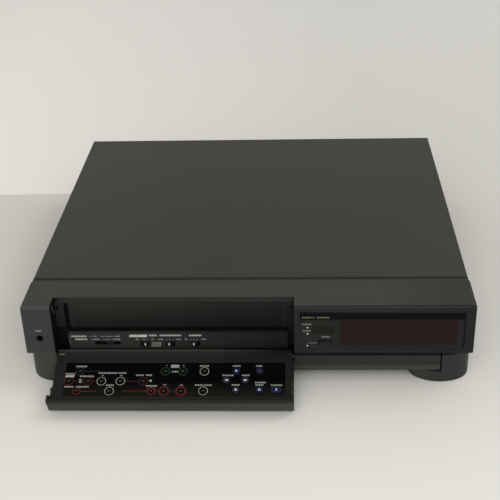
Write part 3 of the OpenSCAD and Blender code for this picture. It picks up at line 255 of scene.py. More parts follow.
def zone(material, axes, soft=0.5, **limits):
    """1 inside a box, else 0. X is across, Y behind the front face, Z up from the top edge, in mm."""
    inside = None
    for side, (low, high) in limits.items():
        base = {"X": 0.0, "Y": front_y, "Z": cad_high[2]}[side]
        for edge, way in ((low, 0.0005 * soft), (high, -0.0005 * soft)):
            part = fade(material, axes[side], base + edge / 1000 - way, base + edge / 1000 + way)
            inside = part if inside is None else product(material, inside, part)
    return inside


def overpaint(material, amount, tone):
    """Puts another colour over part of a finish, for real colour and for painted light and shade."""
    socket = material.node_tree.nodes["Principled BSDF"].inputs["Base Color"]
    wire(material, mixed(material, amount, socket.links[0].from_socket, tone), socket)


def light_by_place(material, source, start, end, low, high):
    """Paints light and shade into a finish by place, darker or lighter from the low share at start to
    the high one at end.
    """
    ramp = add_node(material, "ShaderNodeMapRange", From_Min=start, From_Max=end, To_Min=low,
                    To_Max=high)
    wire(material, source, ramp.inputs["Value"])
    socket = material.node_tree.nodes["Principled BSDF"].inputs["Base Color"]
    wire(material, mixed(material, 1.0, socket.links[0].from_socket, ramp.outputs[0], "MULTIPLY"),
         socket)


front_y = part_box("display_window")[0][1] - 0.0002
hinge_y, hinge_z = front_y + 0.0029, 0.0279
open_angle = math.radians(114)
charcoal = grained("charcoal_styrene", paint(55, 56, 54), 0.5, depth=0.12, sheen=0.18, wear_and_edge_light=0.6)
flap_axes = axes_of(charcoal)
# Painted light: the flap's shell is lighter towards its foot by the table and darker higher up.
light_by_place(charcoal, flap_axes["Z"], 0.003, 0.013, 1.12, 0.9)
# The flap's inside is a duller black; its outer face, which closes the opening, keeps the charcoal.
# With the flap open that face is a slope, so a point is told apart by how far it lies behind it.
tilt = add_node(charcoal, "ShaderNodeMath")
tilt.operation = "MULTIPLY_ADD"
tilt.inputs[1].default_value = math.tan(open_angle)
wire(charcoal, flap_axes["Z"], tilt.inputs[0])
wire(charcoal, flap_axes["Y"], tilt.inputs[2])
face_offset = 0.0071
outer_plane = hinge_y + hinge_z * math.tan(open_angle) + face_offset
overpaint(charcoal, product(charcoal, fade(charcoal, flap_axes["Z"], 0.0145, 0.0165),
                        fade(charcoal, tilt.outputs[0], outer_plane - 0.0004, outer_plane - 0.002)),
      paint(24, 24, 22))
finish_nodes(charcoal, "flap")
front_charcoal = grained("front_panel_styrene", paint(55, 56, 54), 0.5, depth=0.12, sheen=0.18,
                         wear_and_edge_light=0.6)
front_axes = axes_of(front_charcoal)
# Painted highlight: the panel grows lighter over its top 13 mm.
light_by_place(front_charcoal, front_axes["Z"], cad_high[2] - 0.013, cad_high[2] - 0.002, 1.0, 1.3)
for soft, limits, tone in (
        # Painted shade: the opening's inner walls go near black, as shade in the recess.
        (0.5, {"X": (-187.4, 45.4), "Y": (1.6, 80), "Z": (-60, -0.6)}, paint(13, 13, 14)),
        # Painted shade: the display's face is darker, as the light comes from the left.
        (1.0, {"X": (44.7, 216), "Y": (-2, 2.9), "Z": (-52.4, -1.2)}, paint(27, 28, 28)),
        # Painted light: a strip deep in the opening's top is lighter, where light reaches in.
        (1.0, {"X": (-183, 44), "Y": (17, 22), "Z": (-8, -0.6)}, paint(36, 36, 35)),
        # Painted shade: the right foot is darker, as the light comes from the left.
        (1.5, {"X": (172, 230), "Y": (-5, 60), "Z": (-90, -52.6)}, paint(49, 50, 49)),
        # Painted reflection: the left pillar's face takes a cooler grey.
        (3.0, {"X": (-220, -186.6), "Y": (-2, 2.9), "Z": (-50, -1.2)}, paint(48, 50, 51)),
        # Painted shade: the rounded top edge over the display is as dark as the face below it.
        (0.4, {"X": (44.7, 216), "Y": (-2, 3.0), "Z": (-1.2, 1)}, paint(27, 29, 28)),
        # Painted highlight: the left pillar's rounded top edge is lighter.
        (0.4, {"X": (-216, -186.6), "Y": (-2, 2.8), "Z": (-1.2, 1)}, paint(58, 60, 60)),
        (0.4, {"X": (-216, 216), "Y": (3.0, 60), "Z": (-0.6, 1)}, paint(51, 50, 45)),
        (0.2, {"X": (-216, 216), "Y": (53.9, 60), "Z": (-2, 1)}, paint(14, 14, 13)),
        (0.6, {"X": (-176, 212), "Y": (-2, 60), "Z": (-55.0, -52.0)}, paint(1, 1, 1))):
    overpaint(front_charcoal, zone(front_charcoal, front_axes, soft, **limits), tone)
# Painted shade: the panel's right end is darkened, as the light comes from the left.
light_by_place(front_charcoal, front_axes["X"], 0.13, 0.19, 1.0, 0.7)
finish_nodes(front_charcoal, "front_panel")
rail_charcoal = grained("rail_styrene", paint(36, 37, 36), 0.45, depth=0.12, sheen=0.18, wear_and_edge_light=0.6)
# Painted light: the rail's lower band is lighter than its darker upper face, as light falls on it.
overpaint(rail_charcoal, zone(rail_charcoal, axes_of(rail_charcoal), 1.5, X=(-230, 230), Y=(-5, 60),
                          Z=(-75, -66.2)), paint(54, 54, 52))
finish_nodes(rail_charcoal, "lower_rail")
button_charcoal = grained("button_charcoal", paint(28, 28, 31), 0.4, sheen=0.12, wear_and_edge_light=0.8)
button_axes = axes_of(button_charcoal)
for limits in ({"X": (60, 68.7), "Z": (-44.2, -30)}, {"X": (79.4, 90), "Z": (-44.2, -30)},
               {"X": (60, 90), "Z": (-39.3, -30)}):
    overpaint(button_charcoal, zone(button_charcoal, button_axes, 0.4, **limits), paint(1, 1, 1))
finish_nodes(button_charcoal, "operate_button")

# Steel cover: one bent sheet over the top and both sides, with a baked satin enamel that has a
# faint orange-peel, and black cross-head screws along its sides.
enamel = grained("cover_enamel", paint(49, 48, 43), 0.48, grain=900.0, depth=0.1, change=0.1,
                 sheen=0.14, blotch=4.0, wear_and_edge_light=0.5)
cover_axes = axes_of(enamel)
# Painted light: the enamel is lighter at the left, a little lighter at the right and lighter towards
# the back, as light falls on it.
light_by_place(enamel, cover_axes["X"], -0.2, -0.05, 1.16, 1.0)
light_by_place(enamel, cover_axes["X"], 0.05, 0.2, 1.0, 1.05)
light_by_place(enamel, cover_axes["Y"], -0.12, 0.22, 1.0, 1.1)
overpaint(enamel, zone(enamel, cover_axes, 0.2, X=(-230, 230), Y=(50, 54.6), Z=(-2, 1)),
      paint(14, 14, 13))
finish_nodes(enamel, "top_cover")
black_oxide = grained("black_oxide", paint(30, 30, 31), 0.35, change=0.2, wear_and_edge_light=0.8)
finish_nodes(black_oxide, "cover_screws")

# Base plate and rear panel: zinc-plated sheet left bare below, painted grey behind. Rubber feet
# stand under the rear, and plated screws with a cross recess hold the rear panel.


def upright(depth, toward=-1):
    """Sets a flat shape on an upright face that stands so many millimetres behind the front face.
    Shapes are in millimetres: across, up from the top edge, and out of the face."""
    return Matrix(((0.001, 0, 0, 0), (0, 0, toward * 0.001, front_y + depth / 1000),
                   (0, 0.001, 0, cad_high[2]), (0, 0, 0, 1)))


def add_patch(shape, outline, low, high, hang):
    """A flat prism from a closed outline."""
    lower = [shape.verts.new(hang @ Vector((u, v, low))) for u, v in outline]
    upper = [shape.verts.new(hang @ Vector((u, v, high))) for u, v in outline]
    shape.faces.new(lower)
    shape.faces.new(upper)
    for i, near in enumerate(lower):
        shape.faces.new((near, lower[i - 1], upper[i - 1], upper[i]))


def add_turned(shape, centre, profile, hang, steps=32):
    """A turned form: a closed profile of (radius, height) points swept round a centre."""
    ways = [(math.cos(2 * math.pi * i / steps), math.sin(2 * math.pi * i / steps))
            for i in range(steps)]
    rings = [[shape.verts.new(hang @ Vector((centre[0] + r * u, centre[1] + r * v, h)))
              for u, v in ways] for r, h in profile]
    for k, ring in enumerate(rings):
        for i in range(steps):
            shape.faces.new((rings[k - 1][i - 1], rings[k - 1][i], ring[i], ring[i - 1]))


def add_piece(name, shape, material, body):
    """Turns a finished shape into a piece that rides on a body."""
    bmesh.ops.recalc_face_normals(shape, faces=shape.faces)
    mesh = bpy.data.meshes.new(name)
    shape.to_mesh(mesh)
    shape.free()
    mesh.materials.append(material)
    piece = bpy.data.objects.new(name, mesh)
    bpy.context.scene.collection.objects.link(piece)
    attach(piece, body)


plated = grained("zinc_plating", paint(138, 138, 132), 0.4, grain=260.0, change=0.18, blotch=30.0,
                 wear_and_edge_light=0.2, metal=0.9)
finish_nodes(plated, "base_plate")
rear_grey = grained("rear_grey", paint(62, 62, 59), 0.5, grain=700.0, wear_and_edge_light=0.5)
finish_nodes(rear_grey, "rear_panel")
rubber = grained("foot_rubber", paint(28, 28, 28), 0.8, depth=0.3, sheen=0.2)
finish_nodes(rubber, "rear_feet")
rear_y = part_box("rear_panel")[1][1]
rear_face = Matrix(((0.001, 0, 0, 0), (0, 0, 0.001, rear_y), (0, 0.001, 0, cad_high[2]), (0, 0, 0, 1)))
head_radius, head_height, recess_floor, rim_steps = 3, 1.5, 0.5, 36
arm, tip = 0.45, 1.9
cross = [(arm, arm), (arm, tip), (-arm, tip), (-arm, arm), (-tip, arm), (-tip, -arm), (-arm, -arm),
         (-arm, -tip), (arm, -tip), (arm, -arm), (tip, -arm), (tip, arm)]
rim = [(head_radius * math.cos(2 * math.pi * step / rim_steps),
        head_radius * math.sin(2 * math.pi * step / rim_steps)) for step in range(rim_steps)]
for side, across, drop in (
        ("left", -203, -8), ("middle", 8, -8), ("right", 203, -8),
        ("low_left", -203, -64), ("low_middle", 40, -64), ("low_right", 203, -64)):
    head = bmesh.new()
    deep, lip = [[head.verts.new(rear_face @ Vector((across + u, drop + v, h))) for u, v in cross]
                 for h in (recess_floor, head_height)]
    rounds = [[head.verts.new(rear_face @ Vector((across + u * k, drop + v * k, h))) for u, v in rim]
              for k, h in ((0.82, head_height), (0.95, 1.2), (1.0, 0.7), (1.0, 0.0))]
    head.faces.new(deep)
    head.faces.new(rounds[-1])
    for i in range(len(cross)):
        head.faces.new((deep[i - 1], deep[i], lip[i], lip[i - 1]))
    for outer, inner in zip(rounds[1:], rounds):
        for i in range(len(rim)):
            head.faces.new((outer[i - 1], outer[i], inner[i], inner[i - 1]))
    loop = [head.edges.get((ring[i - 1], ring[i])) for ring in (lip, rounds[0])
            for i in range(len(ring))]
    bmesh.ops.triangle_fill(head, edges=loop, use_beauty=True)
    add_piece("rear_screw_" + side, head, plated, "casing")

# Slot frame and cassette door: dull black mouldings set deep behind the flap's opening. The strip
# below the door carries the slider and the switches, with their labels printed as plain pale bars.
# A thin black sheet under the strip is painted shadow in the gap there, and a bent spring in the left
# wall holds the flap shut. Shade is painted into the frame and the door, darker to the right and below.
frame_black = grained("slot_frame_black", paint(31, 31, 30), 0.55, depth=0.1, sheen=0.12, wear_and_edge_light=0.5)
frame_axes = axes_of(frame_black)
# Painted shade: the frame darkens towards the right and towards the bottom.
light_by_place(frame_black, frame_axes["X"], -0.17, 0.04, 1.0, 0.6)
light_by_place(frame_black, frame_axes["Z"], 0.052, 0.078, 0.75, 1.25)
for soft, limits, tone in (
        (0.3, {"X": (-175.4, 38.8), "Y": (12.0, 13.4), "Z": (-60, -36)}, paint(44, 45, 44)),
        (0.5, {"X": (-176, 39), "Y": (13.2, 16.0), "Z": (-37.6, -36)}, paint(44, 44, 42)),
        # Painted shadow: dark behind the strip's ledge and in the gap under the door.
        (1.0, {"X": (-176, 39), "Y": (16.0, 30), "Z": (-37.6, -36)}, paint(10, 10, 10)),
        (0.3, {"X": (-173.5, 39), "Y": (18, 30), "Z": (-37.2, -34.2)}, paint(2, 2, 2)),
        # Painted shade: a dark groove at the door's left and a dark lower left corner of the opening.
        (0.3, {"X": (-177.9, -173.7), "Y": (18, 30), "Z": (-37, -5)}, paint(2, 2, 2)),
        (0.3, {"X": (-187, -175.2), "Y": (18, 30), "Z": (-60, -34)}, paint(8, 8, 8)),
        # Painted shade: the flap's latch holes are black discs on the flat frame.
        (0.6, {"X": (-186.4, -183.0), "Y": (18, 19.4), "Z": (-13.6, -10.5)}, paint(1, 1, 1)),
        (0.6, {"X": (41.0, 43.8), "Y": (18, 19.4), "Z": (-13.2, -10.6)}, paint(1, 1, 1))):
    overpaint(frame_black, zone(frame_black, frame_axes, soft, **limits), tone)
# Painted shade: the strip and its ledge darken towards the right.
overpaint(frame_black, product(frame_black, fade(frame_black, frame_axes["X"], -0.12, 0.03),
                           fade(frame_black, frame_axes["Y"], front_y + 0.0165, front_y + 0.0155)),
      paint(23, 23, 22))
finish_nodes(frame_black, "slot_frame")
door_black = grained("door_black", paint(36, 36, 34), 0.4, depth=0.06, sheen=0.12, wear_and_edge_light=0.6, dust=90)
door_axes = axes_of(door_black)
# Painted shade: the door darkens towards the right and towards the bottom.
light_by_place(door_black, door_axes["X"], -0.12, 0.03, 1.0, 0.5)
light_by_place(door_black, door_axes["Z"], 0.052, 0.076, 0.45, 1.0)
finish_nodes(door_black, "cassette_door")
# Painted shadow: a thin black sheet fills the gap under the strip; its front edge at the left is
# lighter, as painted highlight.
gap_shadow = bmesh.new()
add_patch(gap_shadow, [(-184.6, -56.4), (44.5, -56.4), (44.5, -55.5), (44.1, -55.35), (-184.2, -55.35),
                 (-184.6, -55.5)], 0.0, 5.0, upright(15.6))
gap_shadow_paint = grained("gap_shadow_black", paint(6, 6, 6), 0.9, depth=0.3, sheen=0.05)
gap_shadow_axes = axes_of(gap_shadow_paint)
overpaint(gap_shadow_paint, product(gap_shadow_paint, fade(gap_shadow_paint, gap_shadow_axes["X"], 0.02, -0.05),
                    zone(gap_shadow_paint, gap_shadow_axes, 1.0, X=(-176, 60), Y=(9, 11.6))), paint(50, 47, 41))
add_piece("slot_gap_shadow", gap_shadow, gap_shadow_paint, "casing")
spring = bmesh.new()
side_wall = Matrix(((0, 0, 0.001, 0), (0.001, 0, 0, front_y), (0, 0.001, 0, cad_high[2]), (0, 0, 0, 1)))
bend = [(9.6, -4.6), (10.9, -7.2), (12.3, -10.6), (13.4, -13.4), (14.3, -15.6)]
spring_left, spring_right = -187.1, -186.55
add_patch(spring, bend + [(y - 0.75, z - 0.3) for y, z in reversed(bend)], spring_left, spring_right,
          side_wall)
spring_steel = grained("spring_steel", paint(92, 92, 94), 0.35, grain=900.0, wear_and_edge_light=0.5)
add_piece("catch_spring", spring, spring_steel, "casing")
knob_black = grained("knob_black", paint(22, 22, 23), 0.5, wear_and_edge_light=1.0)
finish_nodes(knob_black, "level_slider", "tape_switch", "edit_switch", "system_switch")
ink_low, ink_high = -0.03, 0.05


def ink(name, tone):
    """Printing ink, worn thin in places."""
    return grained(name, tone, 0.55, grain=1500.0, depth=0.0, change=0.22, sheen=0.2, blotch=120.0)


def add_bar(shape, left, right, middle, tall, hang, lean=0.0):
    """A printed bar, with its ends cut at a lean."""
    add_patch(shape, [(left - lean, middle - tall / 2), (right - lean, middle - tall / 2),
                      (right + lean, middle + tall / 2), (left + lean, middle + tall / 2)],
              ink_low, ink_high, hang)


def add_row(shape, left, right, middle, hang, tall=1.6):
    """A label's place as a row of small plain blocks of four widths in turn."""
    widths, gap, overrun = (1.0, 0.8, 1.15, 0.9), 0.58, 0.3
    across, count = left, 0
    while across + widths[count % 4] <= right + overrun:
        add_bar(shape, across, across + widths[count % 4], middle, tall, hang)
        across += widths[count % 4] + gap
        count += 1


strip_face = upright(13)
pale_ink = ink("pale_ink", paint(176, 176, 170))
dim_ink = ink("dim_ink", paint(132, 133, 129))
print_rows = bmesh.new()
for left, right, middle in ((-172.4, -157.0, -41.4), (-168.9, -156.3, -44.9), (-95.9, -88.9, -40.5),
                            (-85.6, -65.0, -40.5), (-57.0, -44.0, -40.5)):
    add_row(print_rows, left, right, middle, strip_face, 1.8)
add_bar(print_rows, -115.4, -98.2, -41.0, 2.8, strip_face, 0.5)
add_piece("strip_labels", print_rows, pale_ink, "casing")
print_rows = bmesh.new()
for left, right, middle in ((-149.9, -146.1, -41.4), (-129.4, -124.3, -41.4), (-150.5, -144.8, -44.9),
                            (-131.9, -124.0, -44.9), (-109.3, -106.6, -45.0), (-94.1, -90.8, -45.0),
                            (-87.0, -82.1, -45.0), (-69.7, -64.8, -45.0), (-61.5, -58.3, -45.0),
                            (-45.0, -41.0, -45.0)):
    add_row(print_rows, left, right, middle, strip_face, 1.5)
for left, right, middle in ((-154.2, -151.5, -41.4), (-143.9, -130.8, -41.4), (-154.0, -151.0, -44.9),
                            (-142.4, -133.9, -44.9)):
    add_bar(print_rows, left, right, middle, 0.5, strip_face)
half_tick, half_mark = 0.3, 0.55
for middle in (-102.7, -100.5, -98.3, -79.4, -76.0, -72.4, -55.6, -52.6, -49.6):
    add_bar(print_rows, middle - half_tick, middle + half_tick, -45.3, 1.3, strip_face)
hatch_left, hatch_pitch, hatch_wide = -94.0, 1.6, 0.8
for step in range(6):
    left = hatch_left + hatch_pitch * step
    add_bar(print_rows, left, left + hatch_wide, -51.0, 5.4, strip_face, 0.5)
add_piece("strip_scales", print_rows, dim_ink, "casing")
edge_mark = bmesh.new()
add_bar(edge_mark, -174.8, -174.2, -45.6, 11.0, strip_face)
add_piece("strip_edge_mark", edge_mark, ink("edge_ink", paint(74, 75, 73)), "casing")
knob_face = upright(12.4)
for switch, middle in (("edit", -100.5), ("tape", -77.1), ("system", -53.0)):
    knob_mark = bmesh.new()
    add_bar(knob_mark, middle - half_mark, middle + half_mark, -50.5, 2.6, knob_face)
    add_piece(switch + "_knob_mark", knob_mark, ink(switch + "_mark_ink", paint(205, 205, 200)),
              switch + "_knob")

# Display: a smoked acrylic window, grey round the edges and darker in a band along the top, over a
# deep red filter and the display tube. Small lenses and a sensor show at its left.
smoked = bpy.data.materials.new("smoked_acrylic")
smoked_face = shader_of(smoked)
smoked_face.inputs["Roughness"].default_value = 0.14
smoked_face.inputs["Specular IOR Level"].default_value = 0.08
window_axes = axes_of(smoked)
window_tone = mixed(smoked, fade(smoked, window_axes["X"], 0.075, 0.1), paint(34, 34, 33),
                    paint(32, 31, 32))
wire(smoked, window_tone, smoked_face.inputs["Base Color"])
overpaint(smoked, zone(smoked, window_axes, 2.2, X=(40, 220), Z=(-15.0, 0)), paint(3, 4, 8))
overpaint(smoked, zone(smoked, window_axes, 3.0, X=(88.2, 198.4), Z=(-43.3, -14.6)),
      paint(31, 20, 18))
overpaint(smoked, zone(smoked, window_axes, X=(204.2, 220), Z=(-60, -6)), paint(12, 12, 13))
finish_nodes(smoked, "display_window")
ruby = grained("ruby_filter", paint(70, 18, 14), 0.2, depth=0.0)
finish_nodes(ruby, "display_filter")
tube_glass = grained("tube_glass", paint(90, 110, 108), 0.1, depth=0.0)
finish_nodes(tube_glass, "display_tube")
window_face = upright(0.2)
sensor_tone = grained("sensor_window", paint(20, 21, 16), 0.2, depth=0.0, change=0.08, sheen=0.12)
sensor = bmesh.new()
add_bar(sensor, 62.2, 82.7, -26.3, 9.2, window_face)
add_piece("sensor_window", sensor, sensor_tone, "casing")
yellow_ink = ink("yellow_ink", paint(106, 102, 78))
rows = bmesh.new()
for left, right in ((52.5, 60.8), (62.6, 64.4), (66.2, 78.0)):
    add_row(rows, left, right, -12.1, window_face, 1.6)
add_piece("window_title_bar", rows, yellow_ink, "casing")
rows = bmesh.new()
for left, right, middle in ((52.3, 61.0, -19.6), (52.8, 60.6, -27.0), (71.0, 78.0, -33.8)):
    add_row(rows, left, right, middle, window_face, 1.5)
add_piece("window_labels", rows, ink("window_ink", paint(118, 117, 108)), "casing")
rows = bmesh.new()
add_row(rows, 58.0, 66.4, -40.7, window_face, 1.5)
add_bar(rows, 61.9, 62.6, -48.4, 0.6, window_face)
add_piece("window_note", rows, ink("window_dim_ink", paint(98, 84, 86)), "casing")
lens_tone = grained("lamp_lens", paint(186, 184, 172), 0.4, depth=0.0, sheen=0.2)
for count, (across, drop) in enumerate(((57.5, -23.4), (57.5, -30.4), (57.3, -43.9)), start=1):
    lens = bmesh.new()
    add_turned(lens, (across, drop), [(0.01, -0.2), (0.8, -0.2), (0.8, 0.0), (0.62, 0.14), (0.3, 0.24),
                                      (0.01, 0.27)], window_face, steps=20)
    add_piece("lamp_lens_%d" % count, lens, lens_tone, "casing")
# Painted highlight: a thin light line along the window's top edge, fainter towards the left.
glint = bmesh.new()
add_bar(glint, 51.0, 204.4, -6.75, 0.2, window_face)
top_glint_paint = ink("window_glint_paint", paint(60, 63, 66))
light_by_place(top_glint_paint, axes_of(top_glint_paint)["X"], 0.07, 0.15, 0.3, 1.0)
add_piece("window_top_glint", glint, top_glint_paint, "casing")

# Microphone socket: a phone-plug sleeve moulded in black plastic, held behind the left pillar and
# seen through its round hole, with a plain label printed above it.
socket_black = grained("socket_black", paint(8, 8, 8), 0.35)
overpaint(socket_black, zone(socket_black, axes_of(socket_black), X=(-230, -180), Y=(0, 1.0), Z=(-60, -10)),
      paint(46, 46, 45))
finish_nodes(socket_black, "mic_socket")
rows = bmesh.new()
add_row(rows, -203.0, -197.0, -26.4, upright(0), 1.5)
add_piece("mic_label", rows, dim_ink, "casing")

# Flap's inside: a thinner black cover over the key board, with a glossy plate let into it. The plate
# has the keys' rings and labels printed on it as plain marks, in a colour for each group.
inner_black = grained("inner_cover_black", paint(23, 23, 21), 0.5, depth=0.1, sheen=0.12, wear_and_edge_light=0.9,
                      dust=105)
inner_axes = axes_of(inner_black)
# Painted shade: the cover is darker over its right part.
overpaint(inner_black, zone(inner_black, inner_axes, 3.0, X=(-24, 60), Y=(-100, 100), Z=(-90, 10)),
      paint(18, 18, 17))
# Painted highlight: the cover grows lighter towards the hinge.
light_by_place(inner_black, inner_axes["Y"], front_y - 0.003, front_y + 0.0015, 1.0, 1.6)
light_by_place(inner_black, inner_axes["Y"], front_y + 0.0015, front_y + 0.004, 1.0, 2.1)
# Painted shade: near the hinge, its right end is darkened.
overpaint(inner_black, product(inner_black, fade(inner_black, inner_axes["X"], -0.01, 0.03),
                           fade(inner_black, inner_axes["Y"], front_y - 0.009, front_y + 0.002)),
      paint(8, 8, 7))
# Three bands before the lip: the dark middle one is painted shade in the groove there.
for limits, tone in (((-47.4, -45.3), paint(28, 26, 22)), ((-45.3, -44.35), paint(9, 9, 8)),
                     ((-44.35, -43.7), paint(36, 34, 29))):
    overpaint(inner_black, zone(inner_black, inner_axes, 0.4, X=(-188, 46), Y=limits), tone)
finish_nodes(inner_black, "flap_inner_cover")
gloss_black = grained("gloss_black", paint(2, 2, 2), 0.28, depth=0.0, change=0.1, sheen=0.03, dust=46)
gloss_axes = axes_of(gloss_black)
overpaint(gloss_black, fade(gloss_black, gloss_axes["Y"], front_y - 0.028, front_y - 0.039),
      paint(20, 19, 16))
overpaint(gloss_black, zone(gloss_black, gloss_axes, 0.4, Y=(-50, -42.5)), paint(40, 39, 35))
finish_nodes(gloss_black, "control_plate")
hinge_spot = Vector((0, hinge_y, hinge_z))
swing = (Matrix.Translation(hinge_spot) @ Matrix.Rotation(open_angle, 4, "X")
         @ Matrix.Translation(-hinge_spot))
plate_face = swing @ upright(8.5, 1)
large_radius, small_radius, tape_radius = 3.75, 3.0, 3.25
key_spots = {
    "clock": (-160.0, -38.1, large_radius), "program": (-169.8, -27.4, large_radius),
    "date": (-151.4, -27.4, large_radius), "timer": (-161.2, -16.8, small_radius),
    "tracking_down": (-138.5, -27.4, large_radius), "tracking_up": (-120.3, -27.4, large_radius),
    "tracking_auto": (-130.0, -16.8, large_radius), "index": (-98.5, -27.4, large_radius),
    "memory": (-90.2, -16.8, small_radius), "channel_down": (-78.1, -16.8, large_radius),
    "channel_up": (-62.0, -16.8, large_radius), "minus": (-78.0, -38.1, large_radius),
    "plus": (-61.3, -38.1, large_radius), "input": (-40.7, -38.1, large_radius),
    "counter": (-41.0, -17.1, large_radius), "rewind": (-19.4, -28.3, tape_radius),
    "play": (-10.0, -38.4, tape_radius), "forward": (-1.4, -28.3, tape_radius),
    "stop": (-10.2, -18.1, tape_radius), "record": (11.9, -38.4, tape_radius),
    "pause": (12.0, -18.1, tape_radius), "eject": (27.9, -18.1, tape_radius)}
red_ink = ink("red_ink", paint(152, 44, 36))
deep_red_ink = ink("deep_red_ink", paint(92, 34, 36))
amber_ink = ink("amber_ink", paint(136, 48, 36))
green_ink = ink("green_ink", paint(38, 78, 56))
red_line_ink = ink("red_line_ink", paint(118, 34, 30))
amber_line_ink = ink("amber_line_ink", paint(110, 36, 30))
slate_ink = ink("slate_ink", paint(44, 45, 66))
white_ink = ink("white_ink", paint(138, 138, 132))
ring_white = ink("ring_white_ink", paint(160, 160, 154))
plum_ink = ink("plum_ink", paint(84, 34, 44))
dusk_ink = grained("dusk_ink", paint(5, 6, 17), 0.6, depth=0.0, sheen=0.03)
ember_ink = ink("ember_ink", paint(34, 11, 10))
ring_inks = (
    ("slate", slate_ink, ("clock",)), ("deep_red", deep_red_ink, ("program", "date")),
    ("amber", amber_ink, ("timer",)), ("plum", plum_ink, ("index",)),
    ("green", green_ink, ("minus", "plus")),
    ("red", red_ink, ("memory", "channel_down", "channel_up")),
    ("white", ring_white, ("tracking_down", "tracking_up", "tracking_auto", "input", "counter")),
    ("dusk", dusk_ink, ("rewind", "play", "forward", "stop", "record", "pause")))
ring_gap, thin_ring, ring_widths = 0.24, 0.36, {"dusk": 0.8, "white": 0.44}
for colour, ring_ink, names in ring_inks:
    rings = bmesh.new()
    for name in names:
        across, drop, radius = key_spots[name]
        inner = radius + ring_gap
        outer = inner + ring_widths.get(colour, thin_ring)
        add_turned(rings, (across, drop), [(inner, ink_low), (outer, ink_low), (outer, ink_high),
                                           (inner, ink_high)], plate_face, steps=40)
    add_piece(colour + "_key_rings", rings, ring_ink, "control_flap")
glow = bmesh.new()
glow_gap, glow_width, glow_high = 0.9, 0.8, 0.03
for name in ("channel_down", "channel_up", "memory"):
    across, drop, radius = key_spots[name]
    inner = radius + glow_gap
    outer = inner + glow_width
    add_turned(glow, (across, drop), [(inner, ink_low), (outer, ink_low), (outer, glow_high),
                                      (inner, glow_high)], plate_face, steps=40)
add_piece("ember_key_rings", glow, ember_ink, "control_flap")


def oval(centre, half, radius, steps=40):
    """An oval's outline; half is the way from its centre to the centre of a round end."""
    turns = [step / steps - 0.5 for step in range(steps)]
    return [(centre[0] + (half if abs(turn) < 0.25 else -half) + radius * math.cos(2 * math.pi * turn),
             centre[1] + radius * math.sin(2 * math.pi * turn)) for turn in turns]


dusk_oval = bmesh.new()
half_straight, hole_radius, border_radius = 2.0, 3.02, 3.9
hole = oval(key_spots["eject"], half_straight, hole_radius)
border = oval(key_spots["eject"], half_straight, border_radius)
sides = [[dusk_oval.verts.new(plate_face @ Vector((u, v, h))) for u, v in line]
         for line, h in ((hole, ink_low), (border, ink_low), (border, ink_high), (hole, ink_high))]
for side, ring in enumerate(sides):
    for i in range(len(ring)):
        dusk_oval.faces.new((sides[side - 1][i - 1], sides[side - 1][i], ring[i], ring[i - 1]))
add_piece("eject_key_ring", dusk_oval, dusk_ink, "control_flap")
marks = bmesh.new()
for left, right, middle in (
        (-164.6, -154.5, -43.5), (-173.6, -165.1, -35.4), (-159.7, -146.5, -32.7),
        (-173.3, -164.1, -21.3), (-161.8, -149.4, -21.3), (-142.0, -127.5, -36.3),
        (-126.6, -123.5, -36.3), (-122.7, -115.8, -36.3), (-133.5, -126.1, -23.0),
        (-105.9, -98.0, -33.9), (-96.3, -90.6, -33.9), (-95.3, -85.1, -22.3), (-71.7, -66.4, -37.8),
        (-45.3, -36.0, -44.0), (-48.9, -41.7, -23.2), (-40.4, -33.0, -23.2), (-13.7, -5.7, -44.0),
        (8.6, 15.0, -44.0), (-23.2, -12.5, -33.8), (-4.8, 2.8, -33.8), (-14.1, -5.9, -23.4),
        (7.7, 19.1, -26.0), (8.3, 16.1, -23.4), (22.9, 33.0, -23.2)):
    add_row(marks, left, right, middle, plate_face, 1.6)
add_bar(marks, -173.6, -165.0, -32.8, 2.4, plate_face, -0.5)
add_bar(marks, -160.2, -157.4, -28.9, 1.3, plate_face)
add_bar(marks, -160.0, -157.2, -26.5, 1.3, plate_face)
add_patch(marks, [(-92.6, -29.0), (-90.4, -29.0), (-90.4, -26.8), (-92.6, -26.8)], ink_low, ink_high,
          plate_face)
add_piece("plate_labels", marks, white_ink, "control_flap")
signs = bmesh.new()
add_bar(signs, -139.0, -137.0, -33.6, 0.6, plate_face)
add_bar(signs, -121.1, -118.9, -33.6, 0.45, plate_face)
add_bar(signs, -120.2, -119.8, -33.6, 2.0, plate_face)
for across, drop, way in ((-77.6, -23.3, 1), (-61.9, -23.4, -1)):
    add_patch(signs, [(across - 1.8, drop - 0.8 * way), (across, drop + 0.9 * way),
                      (across + 1.8, drop - 0.8 * way), (across + 1.3, drop - 1.1 * way),
                      (across, drop + 0.35 * way), (across - 1.3, drop - 1.1 * way)],
              ink_low, ink_high, plate_face)
add_piece("plate_signs", signs, dim_ink, "control_flap")
for name, ruling, lines in (
        ("slate_plate_lines", slate_ink, ((-155.8, -142.2, -38.0), (-73.3, -66.5, -17.2))),
        ("deep_red_plate_lines", deep_red_ink, ((-165.2, -161.0, -27.3), (-156.8, -155.6, -27.3),
                                                (-146.5, -143.1, -27.3))),
        ("red_plate_lines", red_line_ink, ((-117.8, -94.1, -16.9), (-86.6, -82.7, -16.9))),
        ("amber_plate_lines", amber_line_ink, ((-157.4, -142.4, -16.5),)),
        ("plum_plate_lines", plum_ink, ((-115.5, -103.4, -27.3),))):
    rules = bmesh.new()
    for left, right, middle in lines:
        add_bar(rules, left, right, middle, 0.34, plate_face)
    add_piece(name, rules, ruling, "control_flap")
signs = bmesh.new()
add_bar(signs, -78.2, -76.2, -44.5, 0.6, plate_face)
add_bar(signs, -61.9, -59.9, -44.5, 0.6, plate_face)
add_bar(signs, -61.2, -60.6, -44.5, 1.9, plate_face)
add_piece("green_plate_signs", signs, ink("sage_ink", paint(92, 108, 98)), "control_flap")
plate_block = bmesh.new()
